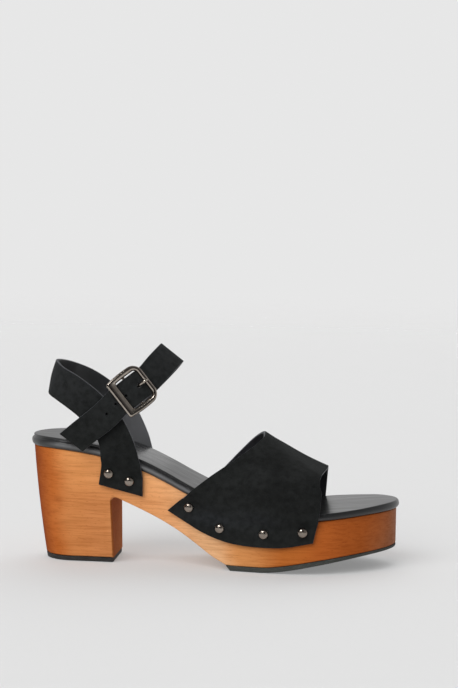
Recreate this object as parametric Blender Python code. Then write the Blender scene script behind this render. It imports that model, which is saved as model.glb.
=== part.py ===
"""Heeled clog sandal for the right foot.

One block of wood with rubber under its heel and forefoot, a rolled leather footbed, a suede vamp and
straps that are nailed to the block, and a buckle on the outer side.

Metres, +Z up, +X towards the toe, -Y the outer (lateral) side. The floor is Z = 0. Every outline comes
from the named sizes and the short tables below, and recentre() puts the origin under the middle of the
finished shoe.
"""

import math
from typing import NamedTuple

import bmesh
import bpy
import numpy as np
from mathutils import Matrix, Vector

# ---------------------------------------------------------------- driving sizes

LENGTH = 0.240  # footbed, heel to toe
HEEL_RADIUS = 0.030  # plan radius round the back of the heel
TOE_RADIUS = 0.064  # how far back the toe's rounding starts
TOE_FULLNESS = 2.0  # 2 is an ellipse, more is blunter
SEAT_HEIGHT = 0.0734  # wood under the heel
SAW_REACH = 0.06  # half the width that a side view is pulled out to, well past the widest point
PAST_END = 0.005  # how far side views run past the heel and the toe before the outline trims them
OVERHANG = 0.0017  # the footbed's rolled edge past the wood
HEEL_DRAFT = 0.08  # inward lean of the heel block per metre of depth
HEEL_HOLLOW = 0.6  # and how that lean grows with depth
HEEL_DRAFT_FADES = (0.058, 0.115)  # from full to none along the shank

BREAST_TOP_X = 0.0553  # front face of the heel, under the shank
BREAST_FOOT_X = 0.0567  # and at the floor
BREAST_FILLET = 0.003
BREAST_FILLET_STEPS = 4
SHANK_FROM_X = 0.0640  # where the shank's own curve takes over from that fillet
LIFT_THICKNESS = 0.0030  # rubber top piece under the heel
OUTSOLE_THICKNESS = 0.0031  # rubber under the forefoot
OUTSOLE_TOE_THICKNESS = 0.0017
OUTSOLE_THINS = (0.168, 0.236)
OUTSOLE_REAR_X = 0.1316
OUTSOLE_REAR_RAKE = 0.0028  # its back end slants forward to the floor
OUTSOLE_REAR_STEP = 0.004  # the wood's step down to it
FOOTBED_HEEL_THICKNESS = 0.0070
FOOTBED_TOE_THICKNESS = 0.0037
FOOTBED_THINS = (0.085, 0.205)  # from the heel's thickness to the toe's

OUTLINE_STEPS = 34  # from heel to toe, on each side of a plan outline
SHANK_STEPS = 8
TREAD_STEPS = 14
TOP_STEPS = 30

GAP = 0.0003  # between pieces that touch
LEATHER_GAP = 0.0008  # between a band and the block that it is nailed to
OVER_EDGE_FROM = 0.0030  # a band starts to step out over the footbed's edge this far under the joint
OVER_EDGE_TO = 0.0002  # and is over it this far under the joint
STUD_GAP = 0.0005  # between a nail head and the band, at the head's middle
BAND_THICKNESS = 0.0020
STRAP_THICKNESS = 0.0020
STRAP_WIDTH = 0.0185
STRAP_STEPS = 3  # along a strap, from one row of its tables to the next
CREST_Y = 0.0  # ridge of the foot
BELOW_JOINT = -0.0034  # the vamp's control points on either side of the joint of wood and footbed
ABOVE_JOINT = 0.0012
VAMP_ROUNDS_AT = (10, 25, 45, 65, 80)  # degrees from the footbed's edge, at 0, to the ridge, at 90

STUD_RADIUS = 0.0032
STUD_HEIGHT = 0.0020
STUD_SIDES = 12
STUD_SLOPE_STEP = 0.001  # a head lies flat on the band's slope over this distance

# The straps' own directions: ALONG climbs forward from heel to instep, ACROSS drops forward over its width.
ALONG = Vector((math.sqrt(0.5), 0.0, math.sqrt(0.5)))
ACROSS = Vector((math.sqrt(0.5), 0.0, -math.sqrt(0.5)))
OUTWARD = Vector((0.0, -1.0, 0.0))

BUCKLE_ALONG = 0.1299  # the buckle's middle, measured along ALONG from the origin
BUCKLE_ACROSS = -0.0303  # and along ACROSS
BUCKLE_OUT = 0.0342  # and outwards from the shoe's middle plane
BUCKLE_TURN_IN = math.radians(17.0)  # towards the instep
BUCKLE_SKEW = math.radians(-6.0)  # in its own plane

BUCKLE_BACK = -0.0122  # the frame's back end, in its own frame
BUCKLE_FRONT = 0.0122
BUCKLE_HALF_WIDTH = 0.0129
WINDOW_BACK = -0.0067  # the back bar is broad and half round
WINDOW_FRONT = 0.0089
WINDOW_HALF_WIDTH = 0.0097
SIDE_BOW = 0.0011  # how far the side bars bow out between their ends
FRAME_THICKNESS = 0.0024
FRAME_CORNER = 0.0062  # outer corners on the end that faces the instep
SMALL_CORNER = 0.0010  # every other corner
CENTRE_BAR_RADIUS = 0.0010
CENTRE_BAR_DROP = 0.0023  # its middle, under the frame's own plane
FRAME_CLEARANCE = 0.00005  # beyond the usual gap, between the frame and the strap
LUG_HALF_LENGTH = 0.0017  # a lug carries each end of the centre bar
LUG_MIDDLE = 0.0012  # its middle, out from the window's bowed side
LUG_INSIDE = 0.0011  # and its faces, from that middle
LUG_OUTSIDE = 0.0012
LUG_BELOW_BAR = 0.0004
PRONG_RADIUS = 0.0010
PRONG_LOOP_THICKNESS = 0.0008
PRONG_LOOP_HALF = 0.0012  # half the loop's length along the centre bar
PRONG_HOLE = 1.75  # hole's radius over the prong's, for its slanted way through

HOLE_PITCH = 0.0086  # between the strap's holes
HOLE_RADIUS = 0.0010
HOLE_COUNT = 3  # free holes on the tail
HOLE_REACH = 0.004  # how far a hole's cutter stands out of the strap on each side

TAB_THICKNESS = 0.0012  # the leather that holds the buckle
TAB_WIDTH = 0.015
TAB_TURN_HALF = 0.0073  # half the length of its turn round the centre bar
TAB_SLOT = 0.0032  # the prong's place in it
TAB_SLOT_BACK = 0.0036  # how far behind the centre bar that slot ends


class Plan(NamedTuple):
    """Footbed outline: centre line and half width at a distance from the heel."""

    x: float
    centre: float
    half: float


class Height(NamedTuple):
    """A side-view curve."""

    x: float
    z: float


class VampRow(NamedTuple):
    """One section of the vamp, from its hem over the footbed's edge to the ridge.

    A lower square is boxier.
    """

    hem_x: float
    hem_z: float
    rim_x: float
    crest_x: float
    crest_z: float
    outer_square: float
    inner_square: float


class HeelRow(NamedTuple):
    """One section across the heel strap: its lower and upper edge, with half widths of the loop."""

    low_x: float
    low_z: float
    low_half: float
    high_x: float
    high_z: float
    high_half: float


class StrapRow(NamedTuple):
    """One section of the ankle strap: its middle in ALONG, Y and ACROSS.

    The slant of its cut is in degrees.
    """

    along: float
    y: float
    across: float
    slant: float


class BuckleRow(NamedTuple):
    """The ankle strap inside the buckle, in its frame: distance along it and height of its middle."""

    along: float
    rise: float


PLAN = (
    Plan(0.030, 0.0000, 0.0300),
    Plan(0.060, -0.0005, 0.0305),
    Plan(0.090, -0.0014, 0.0296),
    Plan(0.115, -0.0028, 0.0308),
    Plan(0.140, -0.0040, 0.0350),
    Plan(0.160, -0.0038, 0.0384),
    Plan(0.178, -0.0026, 0.0412),
    Plan(0.196, -0.0006, 0.0420),
    Plan(0.212, 0.0026, 0.0416),
    Plan(0.226, 0.0054, 0.0410),
    Plan(0.240, 0.0070, 0.0410),
)
WOOD_TOP = (
    Height(-0.010, 0.0738),
    Height(0.010, 0.0738),
    Height(0.023, 0.0733),
    Height(0.034, 0.0720),
    Height(0.048, 0.0697),
    Height(0.062, 0.0661),
    Height(0.076, 0.0612),
    Height(0.091, 0.0543),
    Height(0.106, 0.0468),
    Height(0.120, 0.0407),
    Height(0.135, 0.0366),
    Height(0.150, 0.0344),
    Height(0.166, 0.0335),
    Height(0.190, 0.0340),
    Height(0.216, 0.0361),
    Height(0.250, 0.0386),
)
SHANK = (
    Height(0.0600, 0.0426),
    Height(0.0656, 0.0402),
    Height(0.0753, 0.0359),
    Height(0.0916, 0.0281),
    Height(0.1015, 0.0225),
    Height(0.1113, 0.0160),
    Height(0.1225, 0.0082),
    Height(0.1316, 0.0034),
)
TREAD = (
    Height(0.120, 0.0000),
    Height(0.150, 0.0000),
    Height(0.160, 0.0007),
    Height(0.172, 0.0026),
    Height(0.186, 0.0053),
    Height(0.200, 0.0077),
    Height(0.214, 0.0098),
    Height(0.228, 0.0115),
    Height(0.250, 0.0138),
)
VAMP_INNER_LAG = 0.0060  # the vamp's back edge starts this much further forward on the inner side
VAMP_LAG_DROP = 0.4  # and its hem drops by this share of that
VAMP = (
    VampRow(0.0934, 0.0367, 0.1105, 0.1514, 0.0831, 0.75, 0.70),
    VampRow(0.1045, 0.0303, 0.1226, 0.1582, 0.0788, 0.70, 0.70),
    VampRow(0.1175, 0.0233, 0.1354, 0.1656, 0.0747, 0.64, 0.69),
    VampRow(0.1315, 0.0187, 0.1492, 0.1723, 0.0709, 0.58, 0.69),
    VampRow(0.1475, 0.0167, 0.1632, 0.1790, 0.0672, 0.53, 0.68),
    VampRow(0.1675, 0.0170, 0.1772, 0.1858, 0.0638, 0.48, 0.68),
    VampRow(0.1872, 0.0205, 0.1908, 0.1926, 0.0606, 0.45, 0.67),
)
# The lower rows lie on the block and take their half width from it.
HEEL_STRAP_FOOT = (
    HeelRow(0.0484, 0.0518, 0.0, 0.0769, 0.0449, 0.0),
    HeelRow(0.0497, 0.0605, 0.0, 0.0769, 0.0530, 0.0),
    HeelRow(0.0502, 0.0663, 0.0, 0.0768, 0.0582, 0.0),
    HeelRow(0.0500, 0.0712, 0.0, 0.0762, 0.0634, 0.0),
    HeelRow(0.0493, 0.0757, 0.0, 0.0748, 0.0682, 0.0),
)
HEEL_STRAP_LOOP = (
    HeelRow(0.0474, 0.0812, 0.0302, 0.0715, 0.0790, 0.0305),
    HeelRow(0.0420, 0.0890, 0.0294, 0.0648, 0.0930, 0.0304),
    HeelRow(0.0340, 0.0959, 0.0280, 0.0560, 0.1040, 0.0304),
    HeelRow(0.0263, 0.1010, 0.0252, 0.0460, 0.1131, 0.0294),
    HeelRow(0.0195, 0.1047, 0.0204, 0.0345, 0.1207, 0.0260),
    HeelRow(0.0145, 0.1070, 0.0130, 0.0230, 0.1260, 0.0182),
    HeelRow(0.0124, 0.1080, 0.0000, 0.0171, 0.1286, 0.0000),
)
LOOP_BOW = 0.0008  # how far the middle of the loop's width stands out past its edges
# The footbed's rounded edge: how far inside the outline it is, at each share of its thickness.
FOOTBED_ROLL = ((0.0026, 0.0), (0.0008, 0.06), (0.0, 0.30), (0.0, 0.62), (0.0010, 0.88), (0.0030, 1.0))
# The buckle frame's section: its height, as a share, at each share of the way from outline to window.
FRAME_DOME = (
    (0.0, 0.0),
    (0.0, 0.45),
    (0.16, 0.82),
    (0.40, 1.0),
    (0.66, 0.97),
    (0.90, 0.70),
    (1.0, 0.35),
    (1.0, 0.0),
)
STRAP_TAIL = (
    StrapRow(0.0778, -0.0342, -0.0337, 9.0),
    StrapRow(0.0900, -0.0353, -0.0327, 5.0),
    StrapRow(0.1020, -0.0367, -0.0314, 0.0),
    StrapRow(0.1115, -0.0373, -0.0312, -2.0),
)
STRAP_IN_BUCKLE = (
    BuckleRow(-0.0122, -0.0006),
    BuckleRow(-0.0066, -0.0005),
    BuckleRow(0.0000, 0.0015),
    BuckleRow(0.0060, 0.0002),
    BuckleRow(0.0118, -0.0006),
)
STRAP_ROUND_INSTEP = (
    StrapRow(0.1500, -0.0208, -0.0302, 2.0),
    StrapRow(0.1562, -0.0118, -0.0308, 6.0),
    StrapRow(0.1592, 0.0000, -0.0312, 8.0),
    StrapRow(0.1562, 0.0118, -0.0310, 6.0),
    StrapRow(0.1490, 0.0215, -0.0306, 3.0),
    StrapRow(0.1370, 0.0285, -0.0303, 0.0),
    StrapRow(0.1250, 0.0322, -0.0302, 0.0),
    StrapRow(0.1110, 0.0328, -0.0305, 0.0),
    StrapRow(0.0990, 0.0326, -0.0310, 0.0),
)
TAB_TAIL = (
    StrapRow(0.1020, -0.0348, -0.0314, 0.0),
    StrapRow(0.1115, -0.0352, -0.0312, -2.0),
)
TAB_IN_BUCKLE = (
    BuckleRow(-0.0122, -0.0027),
    BuckleRow(-0.0066, -0.0026),
    BuckleRow(-0.0017, -0.0023),
)

# ---------------------------------------------------------------- curves and surfaces


def follow(table, x, column="z"):
    """A table's column at x, on a smooth curve through its rows; a level run between rows stays level."""
    xs = np.array([row.x for row in table])
    values = np.array([getattr(row, column) for row in table])
    slopes = np.gradient(values, xs)
    level_run = np.flatnonzero(np.diff(values) == 0.0)
    slopes[level_run] = 0.0
    slopes[level_run + 1] = 0.0
    x = np.clip(x, xs[0], xs[-1])
    i = np.clip(np.searchsorted(xs, x) - 1, 0, len(xs) - 2)
    span = xs[i + 1] - xs[i]
    t = (x - xs[i]) / span
    rise = (1 + 2 * t) * (1 - t) ** 2 * values[i] + t * t * (3 - 2 * t) * values[i + 1]
    return rise + span * (t * (1 - t) ** 2 * slopes[i] - t * t * (1 - t) * slopes[i + 1])


def smoothed(rows, steps):
    """Points through every row of an array, with the given number of steps between neighbours."""
    rows = np.asarray(rows, dtype=float)
    ends = [2 * rows[0] - rows[1]], [2 * rows[-1] - rows[-2]]
    padded = np.concatenate((ends[0], rows, ends[1]))
    points = []
    for before, start, end, after in zip(padded, padded[1:], padded[2:], padded[3:]):
        for t in np.arange(steps) / steps:
            square = 2 * before - 5 * start + 4 * end - after
            cube = 3 * start - before - 3 * end + after
            points.append(start + 0.5 * t * (end - before + t * (square + t * cube)))
    points.append(rows[-1])
    return np.array(points)


def smoothed_net(net, row_steps, column_steps):
    """A surface through a net of control points, shaped rows x columns x 3."""
    along = smoothed(net, row_steps)
    return smoothed(along.swapaxes(0, 1), column_steps).swapaxes(0, 1)


def fade(value, start, end):
    """0 before start, 1 after end, eased between."""
    t = np.clip((value - start) / (end - start), 0.0, 1.0)
    return t * t * (3 - 2 * t)


# ---------------------------------------------------------------- the last's plan and the block's sides


def half_width(x, inset=0.0):
    """Half the width of the footbed's outline, moved inwards by inset, with its round heel and toe."""
    half = follow(PLAN, x, "half") - inset
    heel = np.clip((HEEL_RADIUS - x) / (HEEL_RADIUS - inset), 0.0, 1.0)
    toe = np.clip((x - LENGTH + TOE_RADIUS) / (TOE_RADIUS - inset), 0.0, 1.0)
    return half * np.sqrt(1 - heel**2) * (1 - toe**TOE_FULLNESS) ** (1 / TOE_FULLNESS)


def centre_line(x):
    """Y of the middle of the outline."""
    return follow(PLAN, x, "centre")


def wood_inset(x, z):
    """How far the block's side stands inside the footbed's outline."""
    depth = np.maximum(SEAT_HEIGHT - z, 0.0)
    lean = depth * (HEEL_DRAFT + HEEL_HOLLOW * depth)
    return OVERHANG + lean * (1 - fade(x, *HEEL_DRAFT_FADES))


def outline(inset_at, count):
    """Closed plan outline as an array of x and y: outer side from heel to toe, then the inner side back."""
    back = inset_at(0.0)
    front = LENGTH - inset_at(LENGTH)
    x = back + (front - back) * (1 - np.cos(np.linspace(0, math.pi, count + 1))) / 2
    half = half_width(x, inset_at(x))
    half[[0, -1]] = 0.0
    outer = np.column_stack((x, centre_line(x) - half))
    inner = np.column_stack((x, centre_line(x) + half))
    return np.concatenate((outer, inner[-2:0:-1]))


def footbed_thickness(x):
    """Thickness of the footbed, fuller under the heel."""
    toe_ward = fade(x, *FOOTBED_THINS)
    return FOOTBED_HEEL_THICKNESS + (FOOTBED_TOE_THICKNESS - FOOTBED_HEEL_THICKNESS) * toe_ward


def footbed_top(x):
    """Height of the footbed's upper face."""
    return follow(WOOD_TOP, x) + GAP + footbed_thickness(x)


def beside_block(x, z, side):
    """Y of a band's inner face where it lies on the block and over the footbed's edge; side is -1 or 1."""
    joint = follow(WOOD_TOP, x)
    over_edge = fade(z, joint - OVER_EDGE_FROM, joint - OVER_EDGE_TO)
    inset = wood_inset(x, z) * (1 - over_edge)
    return centre_line(x) + side * (half_width(x, inset) + LEATHER_GAP)


# ---------------------------------------------------------------- objects


def material(name, colour, roughness, metallic=0.0):
    """A Principled material."""
    made = bpy.data.materials.new(name)
    made.use_nodes = True
    shader = made.node_tree.nodes["Principled BSDF"]
    shader.inputs["Base Color"].default_value = (*colour, 1.0)
    shader.inputs["Roughness"].default_value = roughness
    shader.inputs["Metallic"].default_value = metallic
    made.diffuse_color = (*colour, 1.0)
    return made


def object_from(name, mesh, finish, smooth=True):
    """A new object in the scene with its own material."""
    if smooth:
        mesh.shade_smooth()
        mesh.set_sharp_from_angle(angle=math.radians(40))
    made = bpy.data.objects.new(name, mesh)
    made.data.materials.append(finish)
    bpy.context.collection.objects.link(made)
    return made


def mesh_from(name, form):
    """A mesh from a bmesh, with all its faces pointing out."""
    bmesh.ops.recalc_face_normals(form, faces=form.faces)
    mesh = bpy.data.meshes.new(name)
    form.to_mesh(mesh)
    form.free()
    return mesh


def bridge(form, first, second):
    """Faces between two closed rings of the same number of vertices."""
    for i in range(len(first)):
        j = (i + 1) % len(first)
        form.faces.new((first[i], first[j], second[j], second[i]))


def ladder(form, ring):
    """Closes an outline's ring with rungs from its outer side to its inner side."""
    half = len(ring) // 2
    for i in range(half):
        corners = (ring[i], ring[i + 1], ring[-i - 1], ring[-i])
        form.faces.new(tuple(dict.fromkeys(corners)))


def make_cutter(thing):
    """Hides an object that only shapes another."""
    thing.hide_render = True
    thing.display_type = "WIRE"
    return thing


def add_boolean(thing, operation, other):
    """Cuts or joins thing with other."""
    boolean = thing.modifiers.new(operation.title(), "BOOLEAN")
    boolean.operation = operation
    boolean.solver = "EXACT"
    boolean.object = other


# ---------------------------------------------------------------- sole unit


def block_column(finish):
    """The block before its side view is cut: the outline at each level, leaning in under the heel."""
    levels = (-0.002, 0.014, 0.030, 0.046, 0.062, 0.080)  # from under the floor to over the seat
    form = bmesh.new()
    rings = []
    for z in levels:
        ring = outline(lambda x, z=z: wood_inset(x, z), OUTLINE_STEPS)
        rings.append([form.verts.new((x, y, z)) for x, y in ring])
    for lower, upper in zip(rings, rings[1:]):
        bridge(form, lower, upper)
    ladder(form, rings[0])
    ladder(form, rings[-1])
    bmesh.ops.triangulate(form, faces=form.faces)
    return make_cutter(object_from("block_column", mesh_from("block_column", form), finish))


def sawn(name, side_view, column, finish):
    """A piece of the sole unit: a side view sawn through the full width, inside the column's outline."""
    half = SAW_REACH
    form = bmesh.new()
    face = form.faces.new([form.verts.new((x, -half, z)) for x, z in side_view])
    pulled = bmesh.ops.extrude_face_region(form, geom=[face])["geom"]
    moved = [part for part in pulled if isinstance(part, bmesh.types.BMVert)]
    bmesh.ops.translate(form, verts=moved, vec=(0.0, 2 * half, 0.0))
    piece = object_from(name, mesh_from(name, form), finish)
    add_boolean(piece, "INTERSECT", column)
    return piece


def outsole_thickness(x):
    """Thickness of the forefoot rubber, which thins towards the toe."""
    return OUTSOLE_THICKNESS + (OUTSOLE_TOE_THICKNESS - OUTSOLE_THICKNESS) * fade(x, *OUTSOLE_THINS)


def level(x):
    """No lift at all."""
    return 0.0 * x


def curve_points(table, start, end, count, lift=level):
    """Side-view points along a table's curve from start to end, raised by lift."""
    x = np.linspace(start, end, count + 1)
    return list(zip(x, follow(table, x) + lift(x)))


def wood_side_view():
    """The block from the side: heel, breast, shank, tread with its toe spring, and the curved top."""
    past_heel, past_toe = -PAST_END, LENGTH + PAST_END
    heel_foot = LIFT_THICKNESS + GAP
    first, second = SHANK[:2]
    slope = math.atan2(second.z - first.z, second.x - first.x)
    corner_z = first.z - math.tan(slope) * (first.x - BREAST_TOP_X)
    turn = math.pi / 2 - slope
    reach = BREAST_FILLET * math.tan(turn / 2)
    centre = (BREAST_TOP_X + BREAST_FILLET, corner_z - reach)
    arc = [
        (
            centre[0] - BREAST_FILLET * math.cos(turn * step / BREAST_FILLET_STEPS),
            centre[1] + BREAST_FILLET * math.sin(turn * step / BREAST_FILLET_STEPS),
        )
        for step in range(BREAST_FILLET_STEPS + 1)
    ]
    tread_from = OUTSOLE_REAR_X + OUTSOLE_REAR_STEP
    points = [(past_heel, heel_foot), (BREAST_FOOT_X, heel_foot)]
    points += arc
    points += curve_points(SHANK, SHANK_FROM_X, OUTSOLE_REAR_X, SHANK_STEPS)
    points += curve_points(TREAD, tread_from, past_toe, TREAD_STEPS, lambda x: outsole_thickness(x) + GAP)
    points += reversed(curve_points(WOOD_TOP, past_heel, past_toe, TOP_STEPS))
    return points


def outsole_side_view():
    """The forefoot rubber from the side, with its slanted back end."""
    past_toe = LENGTH + PAST_END
    rear_foot = OUTSOLE_REAR_X + OUTSOLE_REAR_RAKE
    points = curve_points(TREAD, rear_foot, past_toe, TREAD_STEPS)
    points += reversed(curve_points(TREAD, OUTSOLE_REAR_X, past_toe, TREAD_STEPS, outsole_thickness))
    return points


def lift_side_view():
    """The heel's top piece from the side."""
    back, front = -PAST_END, BREAST_FOOT_X
    return [(back, 0.0), (front, 0.0), (front, LIFT_THICKNESS), (back, LIFT_THICKNESS)]


def sole_unit(finishes):
    """Block, heel lift and forefoot outsole."""
    column = block_column(finishes["wood"])
    sawn("wood_sole", wood_side_view(), column, finishes["wood"])
    sawn("heel_lift", lift_side_view(), column, finishes["rubber"])
    sawn("outsole", outsole_side_view(), column, finishes["rubber"])


def footbed(finish):
    """The leather footbed: it follows the block's top and rolls over its edge all round."""
    form = bmesh.new()
    rings = []
    for inset, share in FOOTBED_ROLL:
        ring = outline(lambda x, inset=inset: inset + level(x), OUTLINE_STEPS)
        height = follow(WOOD_TOP, ring[:, 0]) + GAP + share * footbed_thickness(ring[:, 0])
        rings.append([form.verts.new((x, y, z)) for (x, y), z in zip(ring, height)])
    for lower, upper in zip(rings, rings[1:]):
        bridge(form, lower, upper)
    ladder(form, rings[0])
    ladder(form, rings[-1])
    object_from("footbed", mesh_from("footbed", form), finish)


# ---------------------------------------------------------------- leather bands


def band(name, surface, thickness, finish, offset=1.0):
    """A leather band: a surface of points, thickened outwards, or to both sides where offset is 0."""
    rows, columns = surface.shape[:2]
    form = bmesh.new()
    verts = [[form.verts.new(surface[i, j]) for j in range(columns)] for i in range(rows)]
    for i in range(rows - 1):
        for j in range(columns - 1):
            form.faces.new((verts[i][j], verts[i + 1][j], verts[i + 1][j + 1], verts[i][j + 1]))
    mesh = bpy.data.meshes.new(name)
    form.to_mesh(mesh)
    form.free()
    made = object_from(name, mesh, finish)
    solidify = made.modifiers.new("Thickness", "SOLIDIFY")
    solidify.thickness = thickness
    solidify.offset = offset
    solidify.use_even_offset = True
    return made


def share_to_joint(hem, rim, offset):
    """How far up the line from hem to rim, as a share, the line passes the block's top edge plus offset."""
    shares = np.linspace(0.0, 1.0, 101)
    x = hem[0] + shares * (rim[0] - hem[0])
    z = hem[1] + shares * (rim[1] - hem[1])
    return float(np.interp(0.0, z - follow(WOOD_TOP, x) - offset, shares))


def inner_lag(x, start, end):
    """How much further forward the vamp lies on its inner side, fading from start to end."""
    return VAMP_INNER_LAG * (1 - fade(x, start, end))


def vamp_half_section(row, side):
    """Control points up one side of the vamp, from the hem to just short of the ridge."""
    lag = inner_lag(row.rim_x, VAMP[0].rim_x, VAMP[-1].rim_x) if side > 0 else 0.0
    rim_x = row.rim_x + lag
    hem = np.array((row.hem_x + lag, row.hem_z - VAMP_LAG_DROP * lag))
    rim = np.array((rim_x, footbed_top(rim_x)))
    under = share_to_joint(hem, rim, BELOW_JOINT)
    over = share_to_joint(hem, rim, ABOVE_JOINT)
    points = []
    for share in (0.0, under / 2, under, over, 1.0):
        x, z = hem + share * (rim - hem)
        points.append((x, beside_block(x, z, side), z))
    start = np.array(points[-1])
    to_ridge = np.array((row.crest_x, CREST_Y, row.crest_z)) - start
    square = row.outer_square if side < 0 else row.inner_square
    for degrees in VAMP_ROUNDS_AT:
        angle = math.radians(degrees)
        up = math.sin(angle) ** square
        out = math.cos(angle) ** square
        forward = up - lag / to_ridge[0] * up * (1 - up)
        points.append(tuple(start + np.array((forward, 1 - out, up)) * to_ridge))
    return points


def vamp(finish):
    """The wide band over the forefoot, open in front and behind, in one piece from hem to hem."""
    net = []
    for row in VAMP:
        outer = vamp_half_section(row, -1)
        inner = vamp_half_section(row, 1)
        net.append(outer + [(row.crest_x, CREST_Y, row.crest_z)] + inner[::-1])
    band("vamp", smoothed_net(net, 3, 2), BAND_THICKNESS, finish)


def heel_strap_surface():
    """Inner face of the strap nailed to both sides of the heel, which rises and passes behind the ankle."""
    half = []
    for row in HEEL_STRAP_FOOT:
        low = np.array((row.low_x, row.low_z))
        high = np.array((row.high_x, row.high_z))
        points = (high, (low + high) / 2, low)
        half.append([(x, beside_block(x, z, -1), z) for x, z in points])
    for row in HEEL_STRAP_LOOP:
        low = np.array((row.low_x, centre_line(row.low_x) - row.low_half, row.low_z))
        high = np.array((row.high_x, centre_line(row.high_x) - row.high_half, row.high_z))
        half.append([high, (low + high) / 2, low])
    outer = np.array(half)
    along = np.gradient(outer[:, 1], axis=0)
    out = np.cross(outer[:, 0] - outer[:, 2], along)
    out /= np.linalg.norm(out, axis=1, keepdims=True)
    looped = slice(len(HEEL_STRAP_FOOT), None)
    outer[looped, 1] += LOOP_BOW * out[looped]
    middle = centre_line(outer[..., 0])
    inner = outer.copy()
    inner[..., 1] = 2 * middle - outer[..., 1]
    return smoothed_net(np.concatenate((outer, inner[-2::-1])), 2, 2)


def buckle_frame_axes():
    """The buckle's axes as a matrix: X along the strap to the instep, Y to its upper edge, Z outwards."""
    along = math.cos(BUCKLE_TURN_IN) * ALONG - math.sin(BUCKLE_TURN_IN) * OUTWARD
    across = ACROSS
    x_axis = math.cos(BUCKLE_SKEW) * along - math.sin(BUCKLE_SKEW) * across
    y_axis = -(math.cos(BUCKLE_SKEW) * across + math.sin(BUCKLE_SKEW) * along)
    z_axis = x_axis.cross(y_axis)
    place = BUCKLE_ALONG * ALONG + BUCKLE_ACROSS * ACROSS + BUCKLE_OUT * OUTWARD
    matrix = Matrix((x_axis, y_axis, z_axis)).transposed().to_4x4()
    matrix.translation = place
    return matrix


def strap_section(row, width=STRAP_WIDTH):
    """Upper edge, middle and lower edge of a strap at a row of its tables."""
    slant = math.radians(row.slant)
    middle = row.along * ALONG + row.across * ACROSS - row.y * OUTWARD
    reach = (ACROSS + math.tan(slant) * ALONG) * (width / 2)
    return [middle - reach, middle, middle + reach]


def buckled_section(row, axes, width=STRAP_WIDTH):
    """The same inside the buckle, from a row in the buckle's own frame."""
    return [axes @ Vector((row.along, y, row.rise)) for y in (width / 2, 0.0, -width / 2)]


def ribbon(sections, steps):
    """A surface through a row of sections."""
    return smoothed_net(np.array([[tuple(point) for point in section] for section in sections]), steps, 1)


def ankle_strap_surface(axes):
    """Middle of the ankle strap, from its free tail through the buckle and round to the inner side."""
    sections = [strap_section(row) for row in STRAP_TAIL]
    sections += [buckled_section(row, axes) for row in STRAP_IN_BUCKLE]
    sections += [strap_section(row) for row in STRAP_ROUND_INSTEP]
    return ribbon(sections, STRAP_STEPS)


def pin(name, radius, start, end, finish, sides=10):
    """A round bar between two points."""
    way = end - start
    form = bmesh.new()
    turn = way.to_track_quat("Z", "Y").to_matrix().to_4x4()
    bmesh.ops.create_cone(
        form,
        cap_ends=True,
        segments=sides,
        radius1=radius,
        radius2=radius,
        depth=way.length,
        matrix=Matrix.Translation((start + end) / 2) @ turn,
    )
    return object_from(name, mesh_from(name, form), finish)


def heel_and_ankle_strap(axes, prong_way, finish):
    """The heel strap with the ankle strap sewn to its inner side, the free holes and the prong's hole."""
    strap = band("heel_and_ankle_strap", heel_strap_surface(), BAND_THICKNESS, finish)
    surface = ankle_strap_surface(axes)
    ankle_strap = band("ankle_strap", surface, STRAP_THICKNESS, finish, offset=0.0)
    add_boolean(strap, "UNION", make_cutter(ankle_strap))
    middle_column = surface[:, 1]
    steps = np.linalg.norm(np.diff(middle_column, axis=0), axis=1)
    travelled = np.concatenate(([0.0], np.cumsum(steps)))
    centre_row = [row.along for row in STRAP_IN_BUCKLE].index(0.0)
    buckle_row = STRAP_STEPS * (len(STRAP_TAIL) + centre_row)
    first = travelled[buckle_row] + (prong_way[0].x + prong_way[1].x) / 2
    for number in range(1, HOLE_COUNT + 1):
        reach = first - HOLE_PITCH * number
        centre = Vector([np.interp(reach, travelled, middle_column[:, axis]) for axis in range(3)])
        out = HOLE_REACH * OUTWARD
        hole = pin(f"hole_{number}", HOLE_RADIUS, centre + out, centre - out, finish, 8)
        add_boolean(strap, "DIFFERENCE", make_cutter(hole))
    start, end = (axes @ point for point in prong_way)
    slot = pin("prong_hole", PRONG_HOLE * PRONG_RADIUS, start, end, finish, 10)
    add_boolean(strap, "DIFFERENCE", make_cutter(slot))


# ---------------------------------------------------------------- buckle


def sweep(form, path, section, up, closed):
    """Carries a section along a path that lies flat across up; section points are (sideways, up)."""
    rings = []
    count = len(path)
    for i, point in enumerate(path):
        before = path[i - 1] if closed or i > 0 else point
        after = path[(i + 1) % count] if closed or i < count - 1 else point
        side = (after - before).normalized().cross(up).normalized()
        rings.append([form.verts.new(point + across * side + rise * up) for across, rise in section])
    for first, second in zip(rings, rings[1:]):
        bridge(form, first, second)
    if closed:
        bridge(form, rings[-1], rings[0])
    else:
        form.faces.new(rings[0])
        form.faces.new(rings[-1])


def round_section(radius, sides=8):
    """A round bar's section."""
    turns = [2 * math.pi * (step + 0.5) / sides for step in range(sides)]
    return [(radius * math.cos(turn), radius * math.sin(turn)) for turn in turns]


def corner_arc(x, y, radius, start, steps=4):
    """Points of a quarter turn inside the corner at x, y."""
    centre = (x - math.copysign(radius, x), y - math.copysign(radius, y))
    turns = [math.radians(start + 90 * step / steps) for step in range(steps + 1)]
    return [(centre[0] + radius * math.cos(turn), centre[1] + radius * math.sin(turn)) for turn in turns]


def bowed(x, y):
    """A point of a side bar, moved outwards by the bar's bow."""
    middle = (BUCKLE_BACK + BUCKLE_FRONT) / 2
    share = (x - middle) / (BUCKLE_FRONT - middle)
    return x, y + math.copysign(SIDE_BOW * (1 - share**2), y)


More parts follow.
